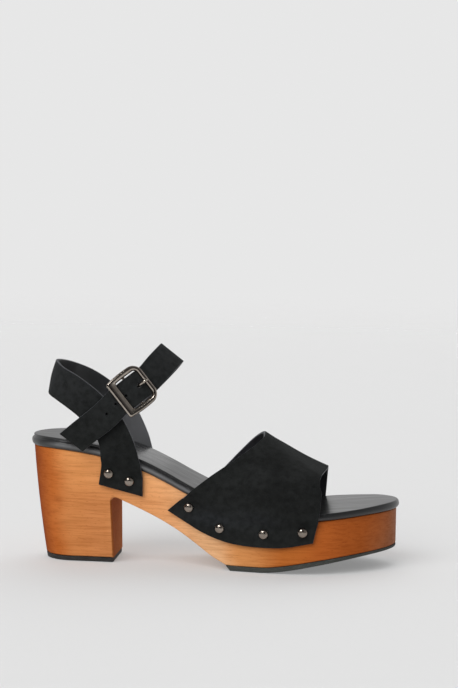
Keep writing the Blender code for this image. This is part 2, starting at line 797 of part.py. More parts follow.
def ring_outline(back, front, half, back_corner, front_corner):
    """A closed outline with its own corner radius at each end and bowed sides, counterclockwise."""
    upper = corner_arc(front, half, front_corner, 0)
    upper += [(x, half) for x in np.linspace(front - front_corner, back + back_corner, 5)[1:-1]]
    upper += corner_arc(back, half, back_corner, 90)
    upper = [bowed(x, y) for x, y in upper]
    return upper + [(x, -y) for x, y in reversed(upper)]


def place_in(parent, thing):
    """Hangs an object, modelled in the parent's frame, from the parent."""
    thing.parent = parent
    return thing


def hollow_rod(name, inner, outer, start, end, finish, sides=14):
    """A round tube between two points."""
    way = end - start
    turn = way.to_track_quat("Z", "Y").to_matrix()
    form = bmesh.new()
    rings = []
    for radius, centre in ((outer, start), (outer, end), (inner, end), (inner, start)):
        ring = []
        for step in range(sides):
            angle = 2 * math.pi * step / sides
            spoke = turn @ Vector((math.cos(angle), math.sin(angle), 0.0)) * radius
            ring.append(form.verts.new(centre + spoke))
        rings.append(ring)
    for first, second in zip(rings, rings[1:] + rings[:1]):
        bridge(form, first, second)
    return object_from(name, mesh_from(name, form), finish)


def box(name, low, high, finish):
    """A block between two corners."""
    form = bmesh.new()
    bmesh.ops.create_cube(form, size=1.0)
    low, high = Vector(low), Vector(high)
    bmesh.ops.scale(form, verts=form.verts, vec=high - low)
    bmesh.ops.translate(form, verts=form.verts, vec=(low + high) / 2)
    return object_from(name, mesh_from(name, form), finish, smooth=False)


def frame_underside():
    """Height of the frame's flat underside over the strap's middle plane."""
    return STRAP_THICKNESS / 2 + GAP + FRAME_CLEARANCE


def buckle_frame(holder, finish):
    """The frame: a domed ring round its window, and two lugs that carry the centre bar."""
    outer = ring_outline(BUCKLE_BACK, BUCKLE_FRONT, BUCKLE_HALF_WIDTH, SMALL_CORNER, FRAME_CORNER)
    inner = ring_outline(WINDOW_BACK, WINDOW_FRONT, WINDOW_HALF_WIDTH, SMALL_CORNER, SMALL_CORNER)
    form = bmesh.new()
    rings = []
    for share, height in FRAME_DOME:
        z = frame_underside() + height * FRAME_THICKNESS
        ring = [Vector(a).lerp(Vector(b), share) for a, b in zip(outer, inner)]
        rings.append([form.verts.new((point.x, point.y, z)) for point in ring])
    for first, second in zip(rings, rings[1:] + rings[:1]):
        bridge(form, first, second)
    frame = place_in(holder, object_from("buckle_frame", mesh_from("buckle_frame", form), finish))
    low = -CENTRE_BAR_DROP - CENTRE_BAR_RADIUS - LUG_BELOW_BAR
    high = frame_underside() + FRAME_THICKNESS / 2
    lug_middle = WINDOW_HALF_WIDTH + SIDE_BOW + LUG_MIDDLE
    for side in (-1, 1):
        near, far = sorted((side * (lug_middle - LUG_INSIDE), side * (lug_middle + LUG_OUTSIDE)))
        lug = box("lug", (-LUG_HALF_LENGTH, near, low), (LUG_HALF_LENGTH, far, high), finish)
        add_boolean(frame, "UNION", make_cutter(place_in(holder, lug)))
    ends = (Vector((0.0, y, -CENTRE_BAR_DROP)) for y in (-lug_middle, lug_middle))
    bar = make_cutter(place_in(holder, pin("centre_bar", CENTRE_BAR_RADIUS, *ends, finish)))
    add_boolean(frame, "UNION", bar)


def buckle_tab(holder, axes, finish):
    """The leather that holds the buckle: it turns round the centre bar and is sewn to the heel strap."""
    sections = [strap_section(row, TAB_WIDTH) for row in TAB_TAIL]
    sections += [buckled_section(row, axes, TAB_WIDTH) for row in TAB_IN_BUCKLE]
    tab = band("buckle_tab", ribbon(sections, STRAP_STEPS), TAB_THICKNESS, finish, offset=0.0)
    inner = CENTRE_BAR_RADIUS + GAP
    ends = (Vector((0.0, y, -CENTRE_BAR_DROP)) for y in (-TAB_TURN_HALF, TAB_TURN_HALF))
    turn = hollow_rod("tab_turn", inner, inner + TAB_THICKNESS - GAP / 2, *ends, finish, 16)
    add_boolean(tab, "UNION", make_cutter(place_in(holder, turn)))
    reach = inner + TAB_THICKNESS + GAP
    low = (-TAB_SLOT_BACK, -TAB_SLOT / 2, -CENTRE_BAR_DROP - reach)
    high = (reach, TAB_SLOT / 2, reach - CENTRE_BAR_DROP)
    add_boolean(tab, "DIFFERENCE", make_cutter(place_in(holder, box("tab_slot", low, high, finish))))


def prong_path():
    """The prong's middle line, from its loop under the strap, up through the hole and onto the front bar."""
    rest = frame_underside() + FRAME_THICKNESS + GAP + PRONG_RADIUS
    stations = (
        (0.0012, 0.0010 - CENTRE_BAR_DROP),
        (0.0030, 0.0013),
        (0.0048, 0.0033),
        (0.0072, rest - 0.0002),
        (0.0100, rest),
        (BUCKLE_FRONT - 0.0014, rest - 0.0002),
    )
    return [Vector((x, 0.0, z)) for x, z in stations]


def buckle_prong(holder, finish):
    """The prong: a loop round the centre bar and a tongue that lies on the front bar."""
    inner = CENTRE_BAR_RADIUS + GAP
    outer = inner + PRONG_LOOP_THICKNESS
    ends = (Vector((0.0, y, -CENTRE_BAR_DROP)) for y in (-PRONG_LOOP_HALF, PRONG_LOOP_HALF))
    loop = place_in(holder, hollow_rod("buckle_prong", inner, outer, *ends, finish, 12))
    form = bmesh.new()
    sweep(form, prong_path(), round_section(PRONG_RADIUS), Vector((0, 1, 0)), closed=False)
    tongue = object_from("prong_tongue", mesh_from("prong_tongue", form), finish)
    add_boolean(loop, "UNION", make_cutter(place_in(holder, tongue)))


# ---------------------------------------------------------------- studs


class StudPlace(NamedTuple):
    """Where a nail's head shows, on both sides of the shoe."""

    x: float
    z: float


STUDS = {
    "vamp": (
        StudPlace(0.1074, 0.0393),
        StudPlace(0.1278, 0.0272),
        StudPlace(0.1560, 0.0252),
        StudPlace(0.1804, 0.0273),
    ),
    "heel_strap": (StudPlace(0.0550, 0.0593), StudPlace(0.0683, 0.0546)),
}


def dome_mesh():
    """A nail's domed head, with its flat underside at Z = 0."""
    form = bmesh.new()
    rings = []
    for radius, height in ((1.0, 0.0), (0.93, 0.38), (0.62, 0.80)):
        ring = []
        for step in range(STUD_SIDES):
            angle = 2 * math.pi * step / STUD_SIDES
            flat = Vector((math.cos(angle), math.sin(angle), 0.0)) * radius * STUD_RADIUS
            ring.append(form.verts.new(flat + Vector((0.0, 0.0, height * STUD_HEIGHT))))
        rings.append(ring)
    for lower, upper in zip(rings, rings[1:]):
        bridge(form, lower, upper)
    top = form.verts.new((0.0, 0.0, STUD_HEIGHT))
    for i, vert in enumerate(rings[-1]):
        form.faces.new((vert, rings[-1][(i + 1) % STUD_SIDES], top))
    form.faces.new(rings[0])
    return mesh_from("stud", form)


def studs(finish):
    """A row of nail heads along each nailed hem."""
    mesh = dome_mesh()
    step = STUD_SLOPE_STEP
    for band_name, places in STUDS.items():
        for side, side_name in ((-1, "outer"), (1, "inner")):
            for number, place in enumerate(places, 1):
                lags = side > 0 and band_name == "vamp"
                lag = inner_lag(place.x, places[0].x, places[-1].x) if lags else 0.0
                x, z = place.x + lag, place.z - VAMP_LAG_DROP * lag
                y = beside_block(x, z, side)
                ahead = beside_block(x + step, z, side)
                above = beside_block(x, z + step, side)
                normal = Vector(((y - ahead) / step, 1.0, (y - above) / step)).normalized() * side
                seat = Vector((x, y, z)) + normal * (BAND_THICKNESS + STUD_GAP)
                stud = object_from(f"stud_{band_name}_{side_name}_{number}", mesh, finish)
                stud.location = seat
                stud.rotation_euler = normal.to_track_quat("Z", "Y").to_euler()


# ---------------------------------------------------------------- the shoe


def clear_scene():
    """Removes whatever the file holds."""
    for thing in list(bpy.data.objects):
        bpy.data.objects.remove(thing, do_unlink=True)


def recentre():
    """Moves the shoe so that the origin is on the floor, under the middle of its bounding box."""
    bpy.context.view_layer.update()
    graph = bpy.context.evaluated_depsgraph_get()
    points = []
    for thing in bpy.data.objects:
        if thing.type == "MESH" and not thing.hide_render:
            finished = thing.evaluated_get(graph)
            points += [finished.matrix_world @ vert.co for vert in finished.data.vertices]
    points = np.array(points)
    middle = (points.min(axis=0) + points.max(axis=0)) / 2
    for thing in bpy.data.objects:
        if thing.parent is None:
            thing.location -= Vector((middle[0], middle[1], 0.0))


def main():
    """Builds every piece."""
    clear_scene()
    finishes = {
        "wood": material("waxed_wood", (0.42, 0.16, 0.05), 0.45),
        "rubber": material("black_rubber", (0.02, 0.02, 0.02), 0.8),
        "footbed": material("smooth_leather", (0.03, 0.03, 0.035), 0.5),
        "suede": material("black_suede", (0.012, 0.012, 0.014), 0.95),
        "metal": material("dark_nickel", (0.30, 0.27, 0.24), 0.25, 1.0),
        "stud": material("antique_nickel", (0.22, 0.20, 0.18), 0.35, 1.0),
    }
    sole_unit(finishes)
    footbed(finishes["footbed"])
    vamp(finishes["suede"])
    axes = buckle_frame_axes()
    holder = bpy.data.objects.new("buckle", None)
    holder.matrix_world = axes
    bpy.context.collection.objects.link(holder)
    path = prong_path()
    heel_and_ankle_strap(axes, (path[0], path[2]), finishes["suede"])
    buckle_tab(holder, axes, finishes["suede"])
    buckle_frame(holder, finishes["metal"])
    buckle_prong(holder, finishes["metal"])
    studs(finishes["stud"])
    recentre()


main()
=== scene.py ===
"""Looks of a heeled clog sandal for the right foot: waxed wood, leather footbed, suede bands, dark nickel.

Sizes are in metres. Shapes are worked out in the last's own frame: X runs from the back of the footbed's
heel to the toe, -Y is the outer side and Z = 0 is the floor. Last.place() moves them into the shoe's frame.
"""

import logging
import math
from dataclasses import dataclass, field
from enum import Enum, IntEnum
from typing import Callable, NamedTuple, Sequence

import bmesh
import bpy
import numpy as np
from mathutils import Matrix, Vector


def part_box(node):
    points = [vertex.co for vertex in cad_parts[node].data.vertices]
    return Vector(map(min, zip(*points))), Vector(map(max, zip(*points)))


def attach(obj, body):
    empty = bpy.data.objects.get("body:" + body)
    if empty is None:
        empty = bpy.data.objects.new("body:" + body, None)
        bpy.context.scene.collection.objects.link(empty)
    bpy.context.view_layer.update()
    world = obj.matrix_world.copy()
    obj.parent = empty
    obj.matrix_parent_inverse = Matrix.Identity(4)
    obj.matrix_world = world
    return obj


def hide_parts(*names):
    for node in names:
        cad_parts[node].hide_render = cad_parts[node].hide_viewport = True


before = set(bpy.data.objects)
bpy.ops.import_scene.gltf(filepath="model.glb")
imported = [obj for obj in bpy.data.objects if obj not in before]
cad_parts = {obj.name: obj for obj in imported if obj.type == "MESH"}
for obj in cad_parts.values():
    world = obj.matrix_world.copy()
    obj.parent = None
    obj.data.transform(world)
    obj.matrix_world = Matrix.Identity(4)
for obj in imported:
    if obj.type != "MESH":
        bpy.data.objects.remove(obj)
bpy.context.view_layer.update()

Array = np.ndarray
Socket = bpy.types.NodeSocket
Material = bpy.types.Material
Object = bpy.types.Object
Colour = tuple[float, float, float]
Point = tuple[float, float, float]

LOG = logging.getLogger("clog_sandal")
BODY = "root"

# ---------------------------------------------------------------- named choices


class Side(IntEnum):
    """The two sides of the right shoe, with the sign of their Y."""

    OUTER = -1
    INNER = 1


class Slot(Enum):
    """The record's material slots."""

    WOOD = "wood"
    HEEL_RUBBER = "heel_rubber"
    SOLE_RUBBER = "sole_rubber"
    FOOTBED = "footbed_leather"
    SUEDE = "suede"
    BUCKLE = "buckle_metal"
    STUD = "stud_metal"


class HideFace(IntEnum):
    """Which material of a leather piece a face takes."""

    OUTSIDE = 0
    LINING = 1
    CUT_EDGE = 2


# ---------------------------------------------------------------- sizes of the shoe

LENGTH = 0.240
HEEL_RADIUS = 0.030
TOE_RADIUS = 0.064
SEAT_HEIGHT = 0.0734
OVERHANG = 0.0017
HEEL_DRAFT = 0.08
HEEL_HOLLOW = 0.6
HEEL_DRAFT_FADES = (0.058, 0.115)

BREAST_TOP_X = 0.0553
BREAST_FOOT_X = 0.0567
BREAST_FILLET = 0.003
LIFT_THICKNESS = 0.0030
OUTSOLE_THICKNESS = 0.0031
OUTSOLE_TOE_THICKNESS = 0.0017
OUTSOLE_THINS = (0.168, 0.236)
OUTSOLE_REAR_X = 0.1316
OUTSOLE_REAR_RAKE = 0.0028
FOOTBED_HEEL_THICKNESS = 0.0070
FOOTBED_TOE_THICKNESS = 0.0037
FOOTBED_THINS = (0.085, 0.205)

GAP = 0.0002
LEATHER_GAP = 0.0008
BAND_THICKNESS = 0.0020
STRAP_THICKNESS = 0.0020
STRAP_WIDTH = 0.0185
BAR_DROP = 0.0023
STUD_RADIUS = 0.0032
STUD_HEIGHT = 0.0020
DENT_DEPTH = 0.00035
DENT_SPREAD = 0.0042
OVER_EDGE_FADES = (-0.0030, -0.0002)
SHOE_ENDS = (-LENGTH / 2, LENGTH / 2)
MERGE_DISTANCE = 2e-6
FLAT_DISTANCE = 1e-7
BAND_SHARP = 50.0
LEFT_AND_RIGHT = (-1, 1)
ROD_SIDES = 20
RING_POINTS = 28

ALONG = np.array((math.sqrt(0.5), 0.0, math.sqrt(0.5)))
ACROSS = np.array((math.sqrt(0.5), 0.0, -math.sqrt(0.5)))
OUTWARD = np.array((0.0, -1.0, 0.0))
SIDEWAYS = np.array((0.0, 1.0, 0.0))


class Plan(NamedTuple):
    """Footbed outline: centre line and half width at a distance from the heel."""

    x: float
    centre: float
    half: float


class Height(NamedTuple):
    """A side-view curve."""

    x: float
    z: float


class VampRow(NamedTuple):
    """One section of the vamp, from hem over footbed edge to ridge; a lower square is boxier."""

    hem_x: float
    hem_z: float
    rim_x: float
    crest_x: float
    crest_z: float
    outer_square: float
    inner_square: float


class HeelRow(NamedTuple):
    """One section across the heel strap: its lower and upper edge, with half widths of the loop."""

    low_x: float
    low_z: float
    low_half: float
    high_x: float
    high_z: float
    high_half: float


class StrapRow(NamedTuple):
    """One section of a strap: its middle in ALONG, Y and ACROSS, and the slant of its cut, in degrees."""

    along: float
    y: float
    across: float
    slant: float


class BuckleRow(NamedTuple):
    """A strap inside the buckle: distance along it and height of its middle, in the buckle's frame."""

    along: float
    rise: float


class NailPlace(NamedTuple):
    """Where a nail's head shows, on both sides of the shoe."""

    x: float
    z: float


PLAN = (
    Plan(0.030, 0.0000, 0.0300),
    Plan(0.060, -0.0005, 0.0305),
    Plan(0.090, -0.0014, 0.0296),
    Plan(0.115, -0.0028, 0.0308),
    Plan(0.140, -0.0040, 0.0350),
    Plan(0.160, -0.0038, 0.0384),
    Plan(0.178, -0.0026, 0.0412),
    Plan(0.196, -0.0006, 0.0420),
    Plan(0.212, 0.0026, 0.0416),
    Plan(0.226, 0.0054, 0.0410),
    Plan(0.240, 0.0070, 0.0410),
)
WOOD_TOP = (
    Height(-0.010, 0.0738),
    Height(0.010, 0.0738),
    Height(0.023, 0.0733),
    Height(0.034, 0.0720),
    Height(0.048, 0.0697),
    Height(0.062, 0.0661),
    Height(0.076, 0.0612),
    Height(0.091, 0.0543),
    Height(0.106, 0.0468),
    Height(0.120, 0.0407),
    Height(0.135, 0.0366),
    Height(0.150, 0.0344),
    Height(0.166, 0.0335),
    Height(0.190, 0.0340),
    Height(0.216, 0.0361),
    Height(0.250, 0.0386),
)
SHANK = (
    Height(0.0600, 0.0426),
    Height(0.0656, 0.0402),
    Height(0.0753, 0.0359),
    Height(0.0916, 0.0281),
    Height(0.1015, 0.0225),
    Height(0.1113, 0.0160),
    Height(0.1225, 0.0082),
    Height(0.1316, 0.0034),
)
TREAD = (
    Height(0.120, 0.0000),
    Height(0.150, 0.0000),
    Height(0.160, 0.0007),
    Height(0.172, 0.0026),
    Height(0.186, 0.0053),
    Height(0.200, 0.0077),
    Height(0.214, 0.0098),
    Height(0.228, 0.0115),
    Height(0.250, 0.0138),
)
VAMP_INNER_LAG = 0.0060
VAMP_LAG_DROP = 0.4
VAMP = (
    VampRow(0.0934, 0.0367, 0.1105, 0.1514, 0.0831, 0.75, 0.70),
    VampRow(0.1045, 0.0303, 0.1226, 0.1582, 0.0788, 0.70, 0.70),
    VampRow(0.1175, 0.0233, 0.1354, 0.1656, 0.0747, 0.64, 0.69),
    VampRow(0.1315, 0.0187, 0.1492, 0.1723, 0.0709, 0.58, 0.69),
    VampRow(0.1475, 0.0167, 0.1632, 0.1790, 0.0672, 0.53, 0.68),
    VampRow(0.1675, 0.0170, 0.1772, 0.1858, 0.0638, 0.48, 0.68),
    VampRow(0.1872, 0.0205, 0.1908, 0.1926, 0.0606, 0.45, 0.67),
)
HEEL_STRAP_FOOT = (
    HeelRow(0.0484, 0.0518, 0.0, 0.0769, 0.0449, 0.0),
    HeelRow(0.0497, 0.0605, 0.0, 0.0769, 0.0530, 0.0),
    HeelRow(0.0502, 0.0663, 0.0, 0.0768, 0.0582, 0.0),
    HeelRow(0.0500, 0.0712, 0.0, 0.0762, 0.0634, 0.0),
    HeelRow(0.0493, 0.0757, 0.0, 0.0748, 0.0682, 0.0),
)
HEEL_STRAP_LOOP = (
    HeelRow(0.0474, 0.0812, 0.0302, 0.0715, 0.0790, 0.0305),
    HeelRow(0.0420, 0.0890, 0.0294, 0.0648, 0.0930, 0.0304),
    HeelRow(0.0340, 0.0959, 0.0280, 0.0560, 0.1040, 0.0304),
    HeelRow(0.0263, 0.1010, 0.0252, 0.0460, 0.1131, 0.0294),
    HeelRow(0.0195, 0.1047, 0.0204, 0.0345, 0.1207, 0.0260),
    HeelRow(0.0145, 0.1070, 0.0130, 0.0230, 0.1260, 0.0182),
    HeelRow(0.0124, 0.1080, 0.0000, 0.0171, 0.1286, 0.0000),
)
LOOP_BOW = 0.0008
STRAP_TAIL = (
    StrapRow(0.0778, -0.0342, -0.0337, 9.0),
    StrapRow(0.0900, -0.0353, -0.0327, 5.0),
    StrapRow(0.1020, -0.0367, -0.0314, 0.0),
    StrapRow(0.1115, -0.0373, -0.0312, -2.0),
)
STRAP_IN_BUCKLE = (
    BuckleRow(-0.0122, -0.0006),
    BuckleRow(-0.0066, -0.0005),
    BuckleRow(0.0000, 0.0015),
    BuckleRow(0.0060, 0.0002),
    BuckleRow(0.0118, -0.0006),
)
STRAP_ROUND_INSTEP = (
    StrapRow(0.1500, -0.0208, -0.0302, 2.0),
    StrapRow(0.1562, -0.0118, -0.0308, 6.0),
    StrapRow(0.1592, 0.0000, -0.0312, 8.0),
    StrapRow(0.1562, 0.0118, -0.0310, 6.0),
    StrapRow(0.1490, 0.0215, -0.0306, 3.0),
    StrapRow(0.1370, 0.0285, -0.0303, 0.0),
    StrapRow(0.1250, 0.0322, -0.0302, 0.0),
    StrapRow(0.1110, 0.0328, -0.0305, 0.0),
    StrapRow(0.0990, 0.0326, -0.0310, 0.0),
)
TAB_TAIL = (
    StrapRow(0.1020, -0.0348, -0.0314, 0.0),
    StrapRow(0.1115, -0.0352, -0.0312, -2.0),
)
TAB_IN_BUCKLE = (
    BuckleRow(-0.0122, -0.0027),
    BuckleRow(-0.0066, -0.0026),
    BuckleRow(-0.0017, -0.0023),
)
NAILS = {
    "vamp": (
        NailPlace(0.1074, 0.0393),
        NailPlace(0.1278, 0.0272),
        NailPlace(0.1560, 0.0252),
        NailPlace(0.1804, 0.0273),
    ),
    "heel_strap": (NailPlace(0.0550, 0.0593), NailPlace(0.0683, 0.0546)),
}
# Domes as shares: how far in and how high on the buckle's frame, how far out and how high on a nail.
BUCKLE_DOME = (
    (0.04, 0.0),
    (0.0, 0.10),
    (0.0, 0.48),
    (0.05, 0.74),
    (0.17, 0.95),
    (0.30, 1.0),
    (0.52, 0.995),
    (0.66, 0.93),
    (0.86, 0.66),
    (1.0, 0.36),
    (1.0, 0.10),
    (0.96, 0.0),
)
NAIL_DOME = (
    (0.0, -0.10),
    (0.85, -0.10),
    (0.98, -0.04),
    (1.0, 0.08),
    (0.97, 0.26),
    (0.86, 0.55),
    (0.64, 0.82),
    (0.34, 0.97),
    (0.0, 1.0),
)

# ---------------------------------------------------------------- curves


def fade(value: Array, start: float, end: float) -> Array:
    """0 before start and 1 after end, with the ease t * t * (3 - 2 t) between.

    Args:
        value: Where to read it.
        start: Where it leaves 0.
        end: Where it reaches 1.

    Returns:
        The share at each value.
    """
    t = np.clip((np.asarray(value, float) - start) / (end - start), 0.0, 1.0)
    return t * t * (3 - 2 * t)


def hump(value: Array, rises: Sequence[float], falls: Sequence[float]) -> Array:
    """0 up to rises, 1 between rises and falls, and 0 again after falls, eased as in fade."""
    return fade(value, *rises) * (1 - fade(value, *falls))


def full_turn(count: int) -> Array:
    """Angles of count points spaced evenly round a circle."""
    return np.linspace(0.0, 2 * math.pi, count, endpoint=False)


def column(rows: Sequence[NamedTuple], name: str) -> Array:
    """One named column of a table as an array."""
    return np.array([getattr(row, name) for row in rows])


def follow(rows: Sequence[NamedTuple], x: Array, name: str = "z") -> Array:
    """A table's column at x: cubic Hermite pieces whose slopes are the table's central differences.

    Args:
        rows: A table with an x column.
        x: Where to read it.
        name: The column to read.

    Returns:
        The column's value at each x. A level run between two rows stays level.
    """
    xs, values = column(rows, "x"), column(rows, name)
    slopes = np.gradient(values, xs)
    level = np.flatnonzero(np.diff(values) == 0.0)
    slopes[level] = 0.0
    slopes[level + 1] = 0.0
    x = np.clip(np.asarray(x, float), xs[0], xs[-1])
    i = np.clip(np.searchsorted(xs, x) - 1, 0, len(xs) - 2)
    span = xs[i + 1] - xs[i]
    t = (x - xs[i]) / span
    value = (1 + 2 * t) * (1 - t) ** 2 * values[i] + t * t * (3 - 2 * t) * values[i + 1]
    return value + span * (t * (1 - t) ** 2 * slopes[i] - t * t * (1 - t) * slopes[i + 1])


def padded_ends(points: Array) -> Array:
    """Rows of points with one more at each end, mirrored through the end point."""
    return np.concatenate(([2 * points[0] - points[1]], points, [2 * points[-1] - points[-2]]))


def spline_weights(share: Array, count: int) -> tuple[Array, Array]:
    """Where a share of a run of points lies, and how much each of four neighbours weighs (Catmull-Rom).

    Args:
        share: 0 at the first point and 1 at the last.
        count: How many points the run has.

    Returns:
        Index of the first of the four neighbours in the padded run, and the weights on a last axis.
    """
    place = np.clip(share, 0.0, 1.0) * (count - 1)
    i = np.minimum(place.astype(int), count - 2)
    t = place - i
    weights = (-t + 2 * t**2 - t**3, 2 - 5 * t**2 + 3 * t**3, t + 4 * t**2 - 3 * t**3, t**3 - t**2)
    return i, 0.5 * np.stack(weights, axis=-1)


def smooth_run(points: Array, count: int) -> Array:
    """A smooth run through points: each of its count points is the weighted sum of four neighbours."""
    points = np.asarray(points, float)
    i, weights = spline_weights(np.linspace(0.0, 1.0, count), len(points))
    padded = padded_ends(points)
    return sum(weights[:, k, None] * padded[i + k] for k in range(4))


@dataclass(frozen=True)
class Net:
    """A surface through a net of control points, smooth along both directions.

    The point at shares u and v is the sum of the 4 x 4 nearest control points, each weighted by the product
    of its Catmull-Rom weights along the rows and along the columns.
    """

    points: Array

    def at(self, u: Array, v: Array) -> Array:
        """Points at shares u along the rows and v along the columns, with x, y, z on a last axis."""
        rows, columns = self.points.shape[:2]
        padded = padded_ends(padded_ends(self.points).swapaxes(0, 1)).swapaxes(0, 1)
        i, along = spline_weights(u, rows)
        j, across = spline_weights(v, columns)
        total = np.zeros(u.shape + (3,))
        for a in range(4):
            for b in range(4):
                total += (along[..., a] * across[..., b])[..., None] * padded[i + a, j + b]
        return total

    def normal(self, u: Array, v: Array) -> Array:
        """Unit normals: the direction of growing u crossed with that of growing v."""
        step = 1e-3
        ahead, behind = np.minimum(u + step, 1.0), np.maximum(u - step, 0.0)
        right, left = np.minimum(v + step, 1.0), np.maximum(v - step, 0.0)
        across = np.cross(self.at(ahead, v) - self.at(behind, v), self.at(u, right) - self.at(u, left))
        return across / np.linalg.norm(across, axis=-1, keepdims=True)


# ---------------------------------------------------------------- meshes


@dataclass
class Shell:
    """A mesh as arrays: points, four-cornered faces and each face's material."""

    points: Array
    faces: Array
    finishes: Array

    def joined(self, other: "Shell") -> "Shell":
        """This shell and another as one."""
        return Shell(
            np.concatenate((self.points, other.points)),
            np.concatenate((self.faces, other.faces + len(self.points))),
            np.concatenate((self.finishes, other.finishes)),
        )


def grid_faces(rows: int, columns: int, wrap_rows: bool = False, wrap_columns: bool = False) -> Array:
    """Four-cornered faces of a grid whose point (i, j) has index i * columns + j.

    Args:
        rows: Points along the first direction.
        columns: Points along the second.
        wrap_rows: Whether the last row joins the first.
        wrap_columns: Whether the last column joins the first.

    Returns:
        Faces x 4 indices, whose normals are rows crossed with columns.
    """
    i, j = np.meshgrid(
        np.arange(rows if wrap_rows else rows - 1),
        np.arange(columns if wrap_columns else columns - 1),
        indexing="ij",
    )
    below, beside = (i + 1) % rows, (j + 1) % columns
    corners = (i * columns + j, below * columns + j, below * columns + beside, i * columns + beside)
    return np.stack(corners, axis=-1).reshape(-1, 4)


def grid_shell(points: Array, wrap_rows: bool = False, wrap_columns: bool = False) -> Shell:
    """A shell from a rows x columns x 3 grid of points."""
    faces = grid_faces(*points.shape[:2], wrap_rows, wrap_columns)
    return Shell(points.reshape(-1, 3), faces, np.zeros(len(faces), int))


def object_from(name: str, shell: Shell, sharp: float = 40.0) -> Object:
    """An object from a shell: doubles merged, faces without area dropped, all faces turned outwards.

    Args:
        name: The piece's name.
        shell: Its mesh in the shoe's frame.
        sharp: Angle in degrees from which an edge stays sharp.

    Returns:
        The object, at the origin.
    """
    mesh = bpy.data.meshes.new(name)
    mesh.from_pydata(shell.points.tolist(), [], shell.faces.tolist())
    mesh.polygons.foreach_set("material_index", shell.finishes.astype(np.int32))
    form = bmesh.new()
    form.from_mesh(mesh)
    bmesh.ops.remove_doubles(form, verts=form.verts, dist=MERGE_DISTANCE)
    bmesh.ops.dissolve_degenerate(form, edges=form.edges, dist=FLAT_DISTANCE)
    bmesh.ops.recalc_face_normals(form, faces=form.faces)
    form.to_mesh(mesh)
    form.free()
    mesh.shade_smooth()
    mesh.set_sharp_from_angle(angle=math.radians(sharp))
    made = bpy.data.objects.new(name, mesh)
    bpy.context.scene.collection.objects.link(made)
    return made


def dress(piece: Object, slot: Slot, nodes: Sequence[str], *finishes: Material) -> None:
    """Gives a piece its materials, hangs it on the shoe and says which nodes it stands for.

    Args:
        piece: The finished object.
        slot: The record's slot; not used.
        nodes: The nodes that it replaces.
        finishes: Its materials, in the order that its faces count them.
    """
    for finish in finishes:
        piece.data.materials.append(finish)
    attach(piece, BODY)
    if nodes:
        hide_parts(*nodes)
    stands_for = ", ".join(nodes) or "nothing"
    LOG.info("%-28s %6d faces, stands for %s", piece.name, len(piece.data.polygons), stands_for)


def punch(piece: Object, cutters: Sequence[Object]) -> None:
    """Cuts holes through a piece with closed cutters, and removes the cutters."""
    for cutter in cutters:
        cut = piece.modifiers.new(cutter.name, "BOOLEAN")
        cut.operation = "DIFFERENCE"
        cut.solver = "EXACT"
        cut.object = cutter
    graph = bpy.context.evaluated_depsgraph_get()
    finished = bpy.data.meshes.new_from_object(piece.evaluated_get(graph))
    piece.modifiers.clear()
    piece.data = finished
    for cutter in cutters:
        bpy.data.objects.remove(cutter, do_unlink=True)


def rod_shell(
    path: Array, up: Array, section: Array, closed: bool = False, sizes: Array | None = None
) -> Shell:
    """A bar: a closed section carried along a path that lies flat across up, with its open ends closed.

    Each ring is the path's point plus section_x times the sideways direction (tangent crossed with up) plus
    section_y times up, both scaled by that point's size.

    Args:
        path: Points x 3.
        up: The direction that stays across the path.
        section: Points x 2 of the section, sideways and up.
        closed: Whether the path's end joins its start.
        sizes: A scale for each of the path's points.

    Returns:
        A closed shell.
    """
    if closed:
        tangent = np.roll(path, -1, axis=0) - np.roll(path, 1, axis=0)
    else:
        tangent = np.gradient(path, axis=0)
    side = np.cross(tangent, up)
    side /= np.linalg.norm(side, axis=1, keepdims=True)
    sizes = np.ones(len(path)) if sizes is None else sizes
    offset = section[None, :, :1] * side[:, None, :] + section[None, :, 1:] * up[None, None, :]
    rings = path[:, None, :] + sizes[:, None, None] * offset
    if not closed:
        first, last = np.broadcast_to(path[0], rings[0].shape), np.broadcast_to(path[-1], rings[0].shape)
        rings = np.concatenate((first[None], rings, last[None]))
    return grid_shell(rings, wrap_rows=closed, wrap_columns=True)


def oval(half_width: float, half_height: float, sides: int, power: float = 2.0) -> Array:
    """A closed section: |x / half_width| ** power + |y / half_height| ** power = 1."""
    turn = full_turn(sides)
    x, y = (np.sign(c) * np.abs(c) ** (2 / power) for c in (np.cos(turn), np.sin(turn)))
    return np.column_stack((half_width * x, half_height * y))


# ---------------------------------------------------------------- the last


